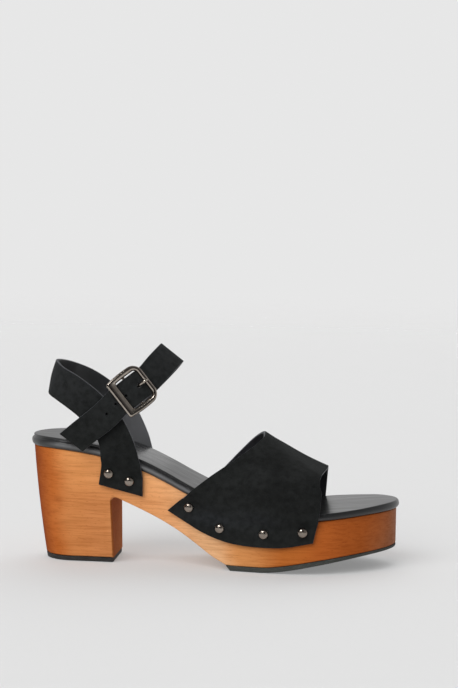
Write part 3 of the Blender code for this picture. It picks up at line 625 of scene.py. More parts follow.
@dataclass(frozen=True)
class Last:
    """What every piece is worked out from: outline, heights and their place in the shoe's frame."""

    shift: Array

    @classmethod
    def from_frame(cls) -> "Last":
        """The last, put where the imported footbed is."""
        low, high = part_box("footbed")
        x = np.linspace(0.0, LENGTH, 2001)
        half, centre = cls.half_width(x), cls.centre_line(x)
        middle = ((centre - half).min() + (centre + half).max()) / 2
        return cls(np.array((low.x, (low.y + high.y) / 2 - middle, 0.0)))

    def place(self, points: Array) -> Array:
        """Points of the last's frame in the shoe's frame."""
        return points + self.shift

    @staticmethod
    def centre_line(x: Array) -> Array:
        """Y of the middle of the outline."""
        return follow(PLAN, x, "centre")

    @staticmethod
    def half_width(x: Array, inset: Array | float = 0.0) -> Array:
        """Half the outline's width, moved inwards: the table's, times a quarter circle at each end."""
        half = follow(PLAN, x, "half") - inset
        heel = np.clip((HEEL_RADIUS - x) / (HEEL_RADIUS - inset), 0.0, 1.0)
        toe = np.clip((x - LENGTH + TOE_RADIUS) / (TOE_RADIUS - inset), 0.0, 1.0)
        return half * np.sqrt(1 - heel**2) * np.sqrt(1 - toe**2)

    @staticmethod
    def wood_inset(x: Array, z: Array) -> Array:
        """How far the block stands inside the outline: overhang plus depth * (draft + hollow * depth)."""
        depth = np.maximum(SEAT_HEIGHT - z, 0.0)
        return OVERHANG + depth * (HEEL_DRAFT + HEEL_HOLLOW * depth) * (1 - fade(x, *HEEL_DRAFT_FADES))

    @staticmethod
    def footbed_thickness(x: Array) -> Array:
        """Thickness of the footbed, fuller under the heel."""
        toe_ward = fade(x, *FOOTBED_THINS)
        return FOOTBED_HEEL_THICKNESS + (FOOTBED_TOE_THICKNESS - FOOTBED_HEEL_THICKNESS) * toe_ward

    @classmethod
    def footbed_top(cls, x: Array) -> Array:
        """Height of the footbed's upper face."""
        return follow(WOOD_TOP, x) + GAP + cls.footbed_thickness(x)

    @staticmethod
    def outsole_thickness(x: Array) -> Array:
        """Thickness of the forefoot rubber, which thins towards the toe."""
        return OUTSOLE_THICKNESS + (OUTSOLE_TOE_THICKNESS - OUTSOLE_THICKNESS) * fade(x, *OUTSOLE_THINS)

    @classmethod
    def beside_block(cls, x: Array, z: Array, side: Side) -> Array:
        """Y of a band's inner face where it lies on the block and over the footbed's edge."""
        joint = follow(WOOD_TOP, x)
        over_edge = fade(z - joint, *OVER_EDGE_FADES)
        inset = cls.wood_inset(x, z) * (1 - over_edge)
        return cls.centre_line(x) + side * (cls.half_width(x, inset) + LEATHER_GAP)

    @classmethod
    def section_point(cls, share: Array, z: Array, extra: Array, across: Array, leans: bool) -> Array:
        """Points inside the outline: X runs from back to front by share, Y from side to side by across.

        The back of the heel leans as the sides do, and extra moves the whole outline inwards.

        Args:
            share: 0 at the back of the heel and 1 at the toe.
            z: Height.
            extra: How far the outline is moved inwards.
            across: -1 on the outer side and 1 on the inner side.
            leans: Whether the outline is the block's own, or the footbed's.

        Returns:
            An array of points.
        """
        nothing = np.zeros_like(share)
        back = (cls.wood_inset(nothing, z) if leans else nothing) + extra
        front = LENGTH - extra - (OVERHANG if leans else 0.0)
        x = back + share * (front - back)
        inset = (cls.wood_inset(x, z) if leans else nothing) + extra
        return np.stack((x, cls.centre_line(x) + across * cls.half_width(x, inset), z), axis=-1)


# ---------------------------------------------------------------- finishes


# A value with the range it is read over and the range it is carried to.
Stretch = tuple[Socket, Sequence[float], Sequence[float]]
# A pattern, the range it is read over, how strong it gets, and the colour that it lays over another.
Layer = tuple[Socket, Sequence[float], float, object]


class Chart:
    """The nodes of one tree, added and linked one by one."""

    def __init__(self, tree: bpy.types.NodeTree) -> None:
        """Opens a tree."""
        self.tree = tree

    def link(self, start: Socket, end: Socket) -> None:
        """Joins two sockets."""
        self.tree.links.new(start, end)

    def feed(self, socket: Socket, value: object) -> None:
        """Gives a socket what it reads: another socket, a number or a colour of three."""
        if isinstance(value, Socket):
            self.link(value, socket)
        elif isinstance(value, tuple) and len(value) == 3:
            socket.default_value = (*value, 1.0)
        else:
            socket.default_value = value

    def add(self, kind: str, **settings: object) -> bpy.types.Node:
        """A new node with its properties set, and its sockets fed; _ in a socket's name is a space."""
        node = self.tree.nodes.new("ShaderNode" + kind)
        for key, value in settings.items():
            if hasattr(node, key):
                setattr(node, key, value)
            else:
                self.feed(node.inputs[key.replace("_", " ")], value)
        return node

    def place(self, scale: Point = (1.0, 1.0, 1.0), turn: Point = (0.0, 0.0, 0.0)) -> Socket:
        """Object coordinates, stretched and turned."""
        mapping = self.add("Mapping", Vector=self.add("TexCoord").outputs["Object"])
        mapping.inputs["Scale"].default_value = scale
        mapping.inputs["Rotation"].default_value = turn
        return mapping.outputs["Vector"]

    def axes(self, where: Socket) -> bpy.types.bpy_prop_collection:
        """X, Y and Z of a vector, by name."""
        return self.add("SeparateXYZ", Vector=where).outputs

    def noise(self, where: Socket, scale: float, detail: float = 3.0, rough: float = 0.5) -> Socket:
        """A noise from 0 to 1 read at a place."""
        return self.add("TexNoise", Vector=where, Scale=scale, Detail=detail, Roughness=rough).outputs["Fac"]

    def ramp(self, start: Socket, stops: Sequence[tuple[float, Colour]]) -> Socket:
        """Colours along a value, from stops of place and colour."""
        node = self.add("ValToRGB", Fac=start)
        node.color_ramp.interpolation = "EASE"
        elements = node.color_ramp.elements
        while len(elements) < len(stops):
            elements.new(0.5)
        for element, (place, colour) in zip(elements, stops):
            element.position = place
            element.color = (*colour, 1.0)
        return node.outputs["Color"]

    def span(
        self, start: Socket, source: Sequence[float], target: Sequence[object], kind: str = "LINEAR"
    ) -> Socket:
        """A value carried from one range to another, whose ends may be sockets."""
        ends = dict(zip(("From_Min", "From_Max", "To_Min", "To_Max"), (*source, *target)))
        return self.add("MapRange", interpolation_type=kind, Value=start, **ends).outputs["Result"]

    def math(self, operation: str, first: object, second: object) -> Socket:
        """Arithmetic on two sockets or numbers."""
        node = self.add("Math", operation=operation)
        for socket, value in zip(node.inputs, (first, second)):
            self.feed(socket, value)
        return node.outputs["Value"]

    def product(self, *stretches: Stretch) -> Socket:
        """The product of stretched values."""
        found, *others = [self.span(*stretch) for stretch in stretches]
        for other in others:
            found = self.math("MULTIPLY", found, other)
        return found

    def mix(self, share: object, first: object, second: object, blend: str = "MIX") -> Socket:
        """Two colours mixed by a share."""
        node = self.add("Mix", data_type="RGBA", blend_type=blend)
        for name, value in (("Factor_Float", share), ("A_Color", first), ("B_Color", second)):
            self.feed(next(s for s in node.inputs if s.identifier == name), value)
        return next(s for s in node.outputs if s.identifier == "Result_Color")

    def layered(self, colour: object, *layers: Layer) -> Socket:
        """A colour with others laid over it in turn."""
        for pattern, reach, strength, over in layers:
            colour = self.mix(self.span(pattern, reach, (0.0, strength)), colour, over)
        return colour

    def mix_shaders(self, share: Socket, first: Socket, second: Socket) -> Socket:
        """Two shaders mixed by a share."""
        node = self.add("MixShader", Fac=share)
        self.link(first, node.inputs[1])
        self.link(second, node.inputs[2])
        return node.outputs["Shader"]


class MaterialChart(Chart):
    """The nodes of one new material with a Principled shader."""

    def __init__(self, name: str) -> None:
        """Makes the material."""
        self.material = bpy.data.materials.new(name)
        self.material.use_nodes = True
        super().__init__(self.material.node_tree)
        self.shader = self.tree.nodes["Principled BSDF"]

    def set(self, **values: object) -> None:
        """Feeds the shader's own sockets; _ in a name is a space."""
        for key, value in values.items():
            self.feed(self.shader.inputs[key.replace("_", " ")], value)

    def bump(self, height: Socket, strength: float, distance: float) -> None:
        """A bump on the shader's normal, on top of one that is already there."""
        node = self.add("Bump", Height=height, Strength=strength, Distance=distance)
        normal = self.shader.inputs["Normal"]
        if normal.links:
            self.link(normal.links[0].from_socket, node.inputs["Normal"])
        self.link(node.outputs["Normal"], normal)


@dataclass(frozen=True)
class WoodFinish:
    """Stained, waxed hardwood: straight grain along the shoe, short dark pores and broad lighter figure."""

    name: str = "waxed_wood"
    tones: tuple[tuple[float, Colour], ...] = (
        (0.00, (0.34, 0.076, 0.011)),
        (0.06, (0.43, 0.111, 0.018)),
        (0.12, (0.59, 0.220, 0.066)),
        (0.21, (0.60, 0.232, 0.076)),
        (0.31, (0.71, 0.305, 0.114)),
        (0.52, (0.755, 0.425, 0.215)),
        (0.60, (0.635, 0.270, 0.088)),
        (0.70, (0.44, 0.125, 0.022)),
        (0.82, (0.43, 0.104, 0.0165)),
        (0.92, (0.38, 0.088, 0.0115)),
        (1.00, (0.32, 0.105, 0.036)),
    )
    # End grain takes a darker stain; on the heel's back and breast this colour also paints the shade that
    # falls there.
    end_grain_and_shade: Colour = (0.44, 0.27, 0.10)
    seat_light: Colour = (1.20, 1.32, 1.42)
    deepened: Colour = (0.50, 0.36, 0.22)
    paled: Colour = (1.22, 1.30, 1.42)
    roughness: float = 0.54

    def made(self) -> Material:
        """The material: a tone from heel to toe, then figure, growth lines, streaks, pores, and darker end
        grain that also paints shade on the heel's back and breast.
        """
        chart = MaterialChart(self.name)
        at = chart.axes(chart.place())
        wander = chart.noise(chart.place((14.0, 40.0, 26.0)), 1.0, 2.0, 0.5)
        along = chart.span(at["X"], SHOE_ENDS, (0.0, 1.0))
        along = chart.math("ADD", along, chart.span(wander, (0.3, 0.7), (-0.022, 0.022)))
        high = chart.product(
            (at["Z"], (0.043, 0.058), (0.0, 0.9)),
            (at["X"], (-0.106, -0.088), (0.0, 1.0)),
        )
        tone = chart.ramp(along, self.tones)
        tone = chart.mix(high, tone, chart.mix(1.0, tone, self.seat_light, "MULTIPLY"))
        figure = chart.noise(chart.place((26.0, 60.0, 95.0), (0.0, 0.05, 0.0)), 1.0, 4.0, 0.55)
        streaks = chart.noise(chart.place((38.0, 260.0, 820.0), (0.0, 0.02, 0.0)), 1.0, 5.0, 0.6)
        pores = chart.noise(chart.place((330.0, 900.0, 2300.0)), 1.0, 2.0, 0.5)
        rings = chart.add(
            "TexWave",
            bands_direction="Z",
            Vector=chart.place((5.0, 12.0, 19.0), (0.0, 0.10, 0.0)),
            Scale=1.0,
            Distortion=5.0,
            Detail=3.0,
            Detail_Scale=1.6,
        )
        stains = (self.deepened, self.paled, self.end_grain_and_shade)
        deep, pale, end_grain_and_shade = (chart.mix(1.0, tone, stain, "MULTIPLY") for stain in stains)
        grained = chart.layered(
            tone,
            (figure, (0.40, 0.66), 0.16, deep),
            (figure, (0.56, 0.34), 0.20, pale),
            (rings.outputs["Fac"], (0.82, 1.0), 0.16, pale),
            (streaks, (0.46, 0.70), 0.42, deep),
            (pores, (0.62, 0.74), 0.55, deep),
        )
        facing = chart.axes(chart.add("TexCoord").outputs["Normal"])
        # Faces that look along X at the heel end: darker end grain, which is also painted shade.
        end_on = chart.product(
            (chart.math("ABSOLUTE", facing["X"], 0.0), (0.55, 0.97), (0.0, 0.75)),
            (at["X"], (-0.05, 0.0), (1.0, 0.0)),
        )
        rough = chart.span(streaks, (0.3, 0.7), (self.roughness - 0.05, self.roughness + 0.09))
        rough = chart.math("ADD", rough, chart.math("MULTIPLY", end_on, 0.45))
        chart.set(
            Base_Color=chart.mix(end_on, grained, end_grain_and_shade), Roughness=rough, Specular_IOR_Level=0.12
        )
        chart.bump(streaks, 0.10, 0.0003)
        chart.bump(pores, 0.10, 0.0002)
        return chart.material


@dataclass(frozen=True)
class SuedeFinish:
    """Dark napped leather: fine nap, slight strokes and a soft sheen."""

    name: str = "charcoal_suede"
    colour: Colour = (0.0122, 0.0131, 0.0127)
    stroke: Colour = (0.0182, 0.0195, 0.0193)
    # Painted light: the suede is painted lighter high up, where the straps catch more light.
    lit_high: Colour = (0.0250, 0.0264, 0.0276)
    lit_high_from: tuple[float, float] = (0.080, 0.118)
    # Painted highlight where the vamp bends over the footbed's edge.
    painted_highlight: Colour = (0.0250, 0.0275, 0.0310)
    # Painted shade on the vamp's crest, high on its front.
    deep: Colour = (0.0058, 0.0062, 0.0060)
    speck: Colour = (0.0040, 0.0044, 0.0042)
    fibre: Colour = (0.022, 0.024, 0.024)
    sheen: float = 0.006

    def made(self) -> Material:
        """The material: painted light high up, a painted highlight over the footbed's edge, painted shade on
        the crest, then nap.
        """
        chart = MaterialChart(self.name)
        where = chart.place()
        at = chart.axes(where)
        nap = chart.noise(where, 1500.0, 4.0, 0.7)
        mottle = chart.noise(where, 260.0, 4.0, 0.6)
        strokes = chart.noise(chart.place((30.0, 30.0, 60.0), (0.0, 0.5, 0.3)), 1.0, 3.0, 0.55)
        # Where the vamp bends over the footbed's edge, which takes the painted highlight.
        over_edge = chart.product(
            (at["Z"], (0.024, 0.032), (0.0, 1.0)),
            (at["Z"], (0.034, 0.043), (1.0, 0.0)),
            (at["X"], (-0.028, -0.004), (0.0, 0.6)),
            (at["X"], (0.024, 0.052), (1.0, 0.0)),
        )
        # Where the vamp's front, high up, takes the painted shade.
        painted_crest_shade = chart.product(
            (at["X"], (0.015, 0.055), (0.0, 0.55)),
            (at["Z"], (0.036, 0.052), (0.0, 1.0)),
        )
        # Painted light high up, then a painted highlight over the footbed's edge and painted shade on the
        # crest.
        tone = chart.layered(self.colour, (at["Z"], self.lit_high_from, 0.6, self.lit_high))
        tone = chart.mix(painted_crest_shade, chart.mix(over_edge, tone, self.painted_highlight), self.deep)
        tone = chart.layered(
            tone,
            (strokes, (0.42, 0.68), 0.75, self.stroke),
            (mottle, (0.40, 0.70), 0.6, self.speck),
            (nap, (0.50, 0.80), 0.45, self.fibre),
        )
        chart.set(
            Base_Color=tone,
            Roughness=0.90,
            Specular_IOR_Level=0.10,
            Sheen_Weight=self.sheen,
            Sheen_Roughness=0.45,
            Sheen_Tint=(0.80, 0.86, 0.92),
        )
        chart.bump(nap, 0.30, 0.0003)
        chart.bump(mottle, 0.12, 0.0004)
        return chart.material


@dataclass(frozen=True)
class LeatherFinish:
    """Smooth finished leather with fine grain and faint draw lines along the shoe."""

    name: str
    colour: Colour
    tint: Colour
    roughness: float = 0.42
    coat: float = 0.15
    coat_roughness: float = 0.35
    specular: float = 0.5
    lines: float = 0.10
    high_tone: Colour | None = None
    high_from: tuple[float, float] = (0.088, 0.106)
    # Colour of a painted highlight along the band that the point attribute marks.
    painted_highlight_tone: Colour | None = None
    dulled: tuple[tuple[float, float], ...] = ()

    def made(self) -> Material:
        """The material; it may take another tone high up, a painted highlight along a marked band, and be
        duller along parts of the shoe.
        """
        chart = MaterialChart(self.name)
        where = chart.place()
        at = chart.axes(where)
        grain = chart.noise(where, 900.0, 3.0, 0.6)
        cloud = chart.noise(where, 45.0, 3.0, 0.5)
        drawn = chart.noise(chart.place((14.0, 420.0, 120.0)), 1.0, 3.0, 0.55)
        tone = chart.layered(self.colour, (cloud, (0.35, 0.70), 0.6, self.tint))
        if self.high_tone:
            tone = chart.layered(tone, (at["Z"], self.high_from, 1.0, self.high_tone))
        # A painted highlight, mixed into the colour where the point attribute marks it, broken by the draw
        # lines.
        if self.painted_highlight_tone:
            painted_highlight = chart.add("Attribute", attribute_name="burnish").outputs["Fac"]
            broken = chart.span(drawn, (0.25, 0.60), (0.55, 1.0))
            tone = chart.mix(chart.math("MULTIPLY", painted_highlight, broken), tone, self.painted_highlight_tone)
        rough = chart.span(drawn, (0.3, 0.7), (self.roughness - 0.06, self.roughness + 0.08))
        if self.dulled:
            along = chart.span(at["X"], SHOE_ENDS, (0.0, 1.0))
            extra = chart.ramp(along, [(place, (dull,) * 3) for place, dull in self.dulled])
            rough = chart.math("ADD", rough, extra)
        chart.set(
            Base_Color=tone,
            Roughness=rough,
            Coat_Weight=self.coat,
            Coat_Roughness=self.coat_roughness,
            Specular_IOR_Level=self.specular,
        )
        chart.bump(grain, 0.10, 0.0002)
        chart.bump(drawn, self.lines, 0.0003)
        return chart.material


@dataclass(frozen=True)
class RubberFinish:
    """Moulded rubber, dull and a little scuffed."""

    name: str
    colour: Colour
    scuff: Colour
    roughness: float = 0.70

    def made(self) -> Material:
        """The material."""
        chart = MaterialChart(self.name)
        where = chart.place()
        cloud = chart.noise(where, 130.0, 4.0, 0.6)
        grit = chart.noise(where, 1200.0, 2.0, 0.6)
        chart.set(
            Base_Color=chart.layered(self.colour, (cloud, (0.40, 0.75), 0.6, self.scuff)),
            Roughness=chart.span(grit, (0.3, 0.7), (self.roughness - 0.08, self.roughness + 0.08)),
            Specular_IOR_Level=0.35,
        )
        chart.bump(grit, 0.15, 0.0003)
        return chart.material


@dataclass(frozen=True)
class MetalFinish:
    """Plated metal with a soft polish and faint handling marks."""

    name: str
    colour: Colour
    tarnish: Colour
    roughness: float = 0.20

    def made(self) -> Material:
        """The material."""
        chart = MaterialChart(self.name)
        cloud = chart.noise(chart.place(), 240.0, 3.0, 0.6)
        marks = chart.noise(chart.place((300.0, 1800.0, 1800.0), (0.3, 0.8, 0.2)), 1.0, 3.0, 0.6)
        chart.set(
            Base_Color=chart.layered(self.colour, (cloud, (0.40, 0.72), 0.6, self.tarnish)),
            Roughness=chart.span(marks, (0.3, 0.75), (self.roughness - 0.05, self.roughness + 0.10)),
            Metallic=1.0,
        )
        chart.bump(marks, 0.008, 0.0001)
        return chart.material


@dataclass(frozen=True)
class PaperFinish:
    """The studio's pale floor, lit a little from below; it thins out far away and, sooner, in front."""

    name: str = "studio_paper"
    tone: float = 0.45
    glow: float = 0.228
    far_fade: tuple[float, float] = (0.9, 3.2)
    front_fade: tuple[float, float] = (-0.45, -0.80)

    def made(self) -> Material:
        """The material: paper, mixed with clear by the distance from the middle and to the front."""
        chart = MaterialChart(self.name)
        chart.set(
            Base_Color=(self.tone,) * 3,
            Roughness=0.9,
            Specular_IOR_Level=0.1,
            Emission_Color=(1.0, 1.0, 1.0),
            Emission_Strength=self.glow,
        )
        where = chart.add("TexCoord").outputs["Object"]
        far = chart.add("VectorMath", operation="LENGTH", Vector=where).outputs["Value"]
        thin = chart.span(far, self.far_fade, (0.0, 1.0), "SMOOTHSTEP")
        short = chart.span(chart.axes(where)["Y"], self.front_fade, (0.0, 1.0), "SMOOTHSTEP")
        clear = chart.add("BsdfTransparent").outputs["BSDF"]
        faded = chart.mix_shaders(chart.math("MAXIMUM", thin, short), chart.shader.outputs["BSDF"], clear)
        chart.link(faded, chart.tree.nodes["Material Output"].inputs["Surface"])
        return chart.material


# ---------------------------------------------------------------- sole unit


def sine_run(count: int) -> Array:
    """Shares from 0 to 1 that crowd at 0: 1 - cos(s * 90 degrees)."""
    return 1 - np.cos(np.linspace(0.0, math.pi / 2, count))


# Where lines lie within a rounded edge, as shares of its radius.
EDGE_STEPS = np.array((0.0, 0.04, 0.15, 0.35, 0.65, 1.0))


def bridged(start: Array, end: Array, count: int) -> Array:
    """Points spaced evenly on the lines from start to end, without the ends themselves."""
    share = np.linspace(-1.0, 1.0, count)[1:-1, None]
    return start + (share + 1) / 2 * (end - start)


@dataclass(frozen=True)
class SawnPiece:
    """A piece of the sole unit: lines from a lower to an upper side-view curve, wrapped round the outline.

    Line i starts at (lower share, lower z) and ends at (upper share, upper z). Its two copies, one on each
    side, are joined across above and below, so that every i gives one closed ring. Near both ends of a line
    the outline moves in by r - sqrt(r * r - (r - d) ** 2), with d the distance to that end, which rounds
    the edge.
    """

    lower: Array
    upper: Array
    lower_round: float
    upper_round: float
    leans: bool = True
    lines: int = 16
    across: int = 14
    thinnest: float = 1e-6
    round_limit: float = 0.4

    @staticmethod
    def rounding(distance: Array, radius: float) -> Array:
        """How far an edge of the given radius draws in at a distance from it."""
        short = np.clip(radius - distance, 0.0, radius)
        return radius - np.sqrt(np.maximum(radius**2 - short**2, 0.0))

    def shell(self, last: Last) -> Shell:
        """The closed shell in the shoe's frame."""
        height = np.maximum(self.upper[:, 1] - self.lower[:, 1], self.thinnest)
        radii = (self.lower_round, self.upper_round)
        low, high = (np.minimum(r, self.round_limit * height)[:, None] * EDGE_STEPS for r in radii)
        between = np.linspace(0.0, 1.0, self.lines)[1:-1]
        room = (height - low[:, -1] - high[:, -1])[:, None]
        up = np.concatenate((low, low[:, -1:] + room * between, height[:, None] - high[:, ::-1]), axis=1)
        t = up / height[:, None]
        share = self.lower[:, :1] + t * (self.upper[:, :1] - self.lower[:, :1])
        z = self.lower[:, 1:] + up
        drawn = self.rounding(up, self.lower_round) + self.rounding(height[:, None] - up, self.upper_round)
        drawn = np.minimum(drawn, max(self.lower_round, self.upper_round))
        one = np.ones_like(t)
        outer = last.section_point(share, z, drawn, -one, self.leans)
        inner = last.section_point(share, z, drawn, one, self.leans)
        top = bridged(outer[:, -1:], inner[:, -1:], self.across)
        bottom = bridged(inner[:, :1], outer[:, :1], self.across)
        rings = np.concatenate((outer, top, inner[:, ::-1], bottom), axis=1)
        return grid_shell(last.place(rings), wrap_columns=True)


def share_of(x: Array, z: Array) -> Array:
    """The share from the leaning back of the block to its front that an X stands for at a height."""
    back = Last.wood_inset(np.zeros_like(np.asarray(z, float)), z)
    return (x - back) / (LENGTH - OVERHANG - back)


def side_curve(x: Array, z: Array) -> Array:
    """A side-view curve as columns of share and z."""
    z = np.broadcast_to(z, np.shape(x)).astype(float)
    return np.column_stack((share_of(x, z), z))


@dataclass(frozen=True)
class SoleUnit:
    """The wooden block with its heel, the rubber under the heel and the rubber under the forefoot."""

    edge_round: float = 0.0011
    seat_round: float = 0.0005
    rubber_round: float = 0.0004
    joint_round: float = 0.0002
    seam: float = 0.0001
    seat_end: float = 0.046
    waist_end: float = 0.0545
    arch_start: float = 0.0630
    shank_start: float = 0.0640
    heel_lines: int = 34
    breast_lines: int = 17
    fillet_lines: int = 8
    shank_lines: int = 36
    fore_lines: int = 56
    lift_lines: int = 40
    front_lines: int = 4
    rake_lines: int = 7
    tread_lines: int = 70
    block_rows: int = 22
    rubber_rows: int = 5

    @staticmethod
    def x_at(share: Array) -> Array:
        """X at a share of the way from the back of the block to its front, at the seat's height."""
        return OVERHANG + share * (LENGTH - 2 * OVERHANG)

    def block(self, last: Last) -> Shell:
        """Lower curve: heel's foot, breast, fillet, shank, tread. Upper curve: seat, waist, forefoot."""
        foot = LIFT_THICKNESS + self.seam
        foot_end = share_of(BREAST_FOOT_X, foot)
        crowd = sine_run(self.heel_lines)
        heel = np.column_stack((foot_end * crowd, np.full(self.heel_lines, foot)))
        slope = math.atan2(SHANK[1].z - SHANK[0].z, SHANK[1].x - SHANK[0].x)
        turn = math.pi / 2 - slope
        reach = BREAST_FILLET * math.tan(turn / 2)
        breast_top = SHANK[0].z - math.tan(slope) * (SHANK[0].x - BREAST_TOP_X) - reach
        breast_z = np.linspace(foot, breast_top, self.breast_lines + 1)[1:]
        lean = (breast_z - foot) / (breast_top - foot)
        breast = side_curve(BREAST_FOOT_X + lean * (BREAST_TOP_X - BREAST_FOOT_X), breast_z)
        angle = np.linspace(0.0, turn, self.fillet_lines + 1)[1:]
        fillet = side_curve(
            BREAST_TOP_X + BREAST_FILLET * (1 - np.cos(angle)), breast_top + BREAST_FILLET * np.sin(angle)
        )
        shank_x = np.linspace(self.shank_start, OUTSOLE_REAR_X, self.shank_lines)
        shank = side_curve(shank_x, follow(SHANK, shank_x))
        rear = share_of(OUTSOLE_REAR_X, SHANK[-1].z)
        fore_share = rear + (1 - rear) * (1 - sine_run(self.fore_lines)[::-1])[1:]
        fore_x = self.x_at(fore_share)
        tread_z = follow(TREAD, fore_x) + last.outsole_thickness(fore_x) + self.seam
        lower = np.concatenate((heel, breast, fillet, shank, np.column_stack((fore_share, tread_z))))
        stops = [share_of(x, SEAT_HEIGHT) for x in (self.seat_end, self.waist_end, self.arch_start)]
        runs = zip(stops, (*stops[1:], rear), (self.breast_lines, self.fillet_lines, self.shank_lines))
        between = [np.linspace(start, end, count + 1)[1:] for start, end, count in runs]
        shares = np.concatenate((stops[0] * crowd, *between, fore_share))
        upper = np.column_stack((shares, follow(WOOD_TOP, self.x_at(shares))))
        return SawnPiece(lower, upper, self.edge_round, self.seat_round, lines=self.block_rows).shell(last)

    def rubber(self, lower: Array, upper: Array) -> SawnPiece:
        """A rubber piece between two curves, with the rubber's rounded edges."""
        return SawnPiece(lower, upper, self.rubber_round, self.joint_round, lines=self.rubber_rows)

    def heel_lift(self, last: Last) -> Shell:
        """The heel's top piece: a flat slab with the heel's own outline and a straight front."""
        front = np.linspace(0.0, LIFT_THICKNESS, self.front_lines + 1)[1:]
        crowd = sine_run(self.lift_lines)
        level = np.column_stack((share_of(BREAST_FOOT_X, 0.0) * crowd, 0 * crowd))
        lower = np.concatenate((level, side_curve(np.full(len(front), BREAST_FOOT_X), front)))
        upper_end = share_of(BREAST_FOOT_X, LIFT_THICKNESS)
        upper_share = np.concatenate((upper_end * crowd, np.full(len(front), upper_end)))
        upper = np.column_stack((upper_share, np.full(len(upper_share), LIFT_THICKNESS)))
        return self.rubber(lower, upper).shell(last)

    def outsole(self, last: Last) -> Shell:
        """The forefoot rubber: a slanted back end, then the tread with its toe spring."""
        rear_x = np.linspace(OUTSOLE_REAR_X, OUTSOLE_REAR_X + OUTSOLE_REAR_RAKE, self.rake_lines)
        thickness = float(last.outsole_thickness(OUTSOLE_REAR_X))
        rear = side_curve(rear_x, np.linspace(thickness, 0.0, len(rear_x)))
        crowd = (1 - sine_run(self.tread_lines)[::-1])[1:]
        start, top_start = share_of(rear_x[-1], 0.0), share_of(OUTSOLE_REAR_X, thickness)
        lower_share, upper_share = (first + (1 - first) * crowd for first in (start, top_start))
        lower_x, upper_x = self.x_at(lower_share), self.x_at(upper_share)
        lower = np.concatenate((rear, np.column_stack((lower_share, follow(TREAD, lower_x)))))
        top = np.column_stack((upper_share, follow(TREAD, upper_x) + last.outsole_thickness(upper_x)))
        upper = np.concatenate((np.tile((top_start, thickness), (len(rear_x), 1)), top))
        return self.rubber(lower, upper).shell(last)

    def build(self, last: Last, finishes: "Wardrobe") -> None:
        """Makes the three pieces."""
        for name, shell, slot, node, finish in (
            ("waxed_block", self.block(last), Slot.WOOD, "wood_sole", finishes.wood),
            ("heel_top_piece", self.heel_lift(last), Slot.HEEL_RUBBER, "heel_lift", finishes.heel_rubber),
            ("forefoot_rubber", self.outsole(last), Slot.SOLE_RUBBER, "outsole", finishes.sole_rubber),
        ):
            dress(object_from(name, shell), slot, [node], finish)


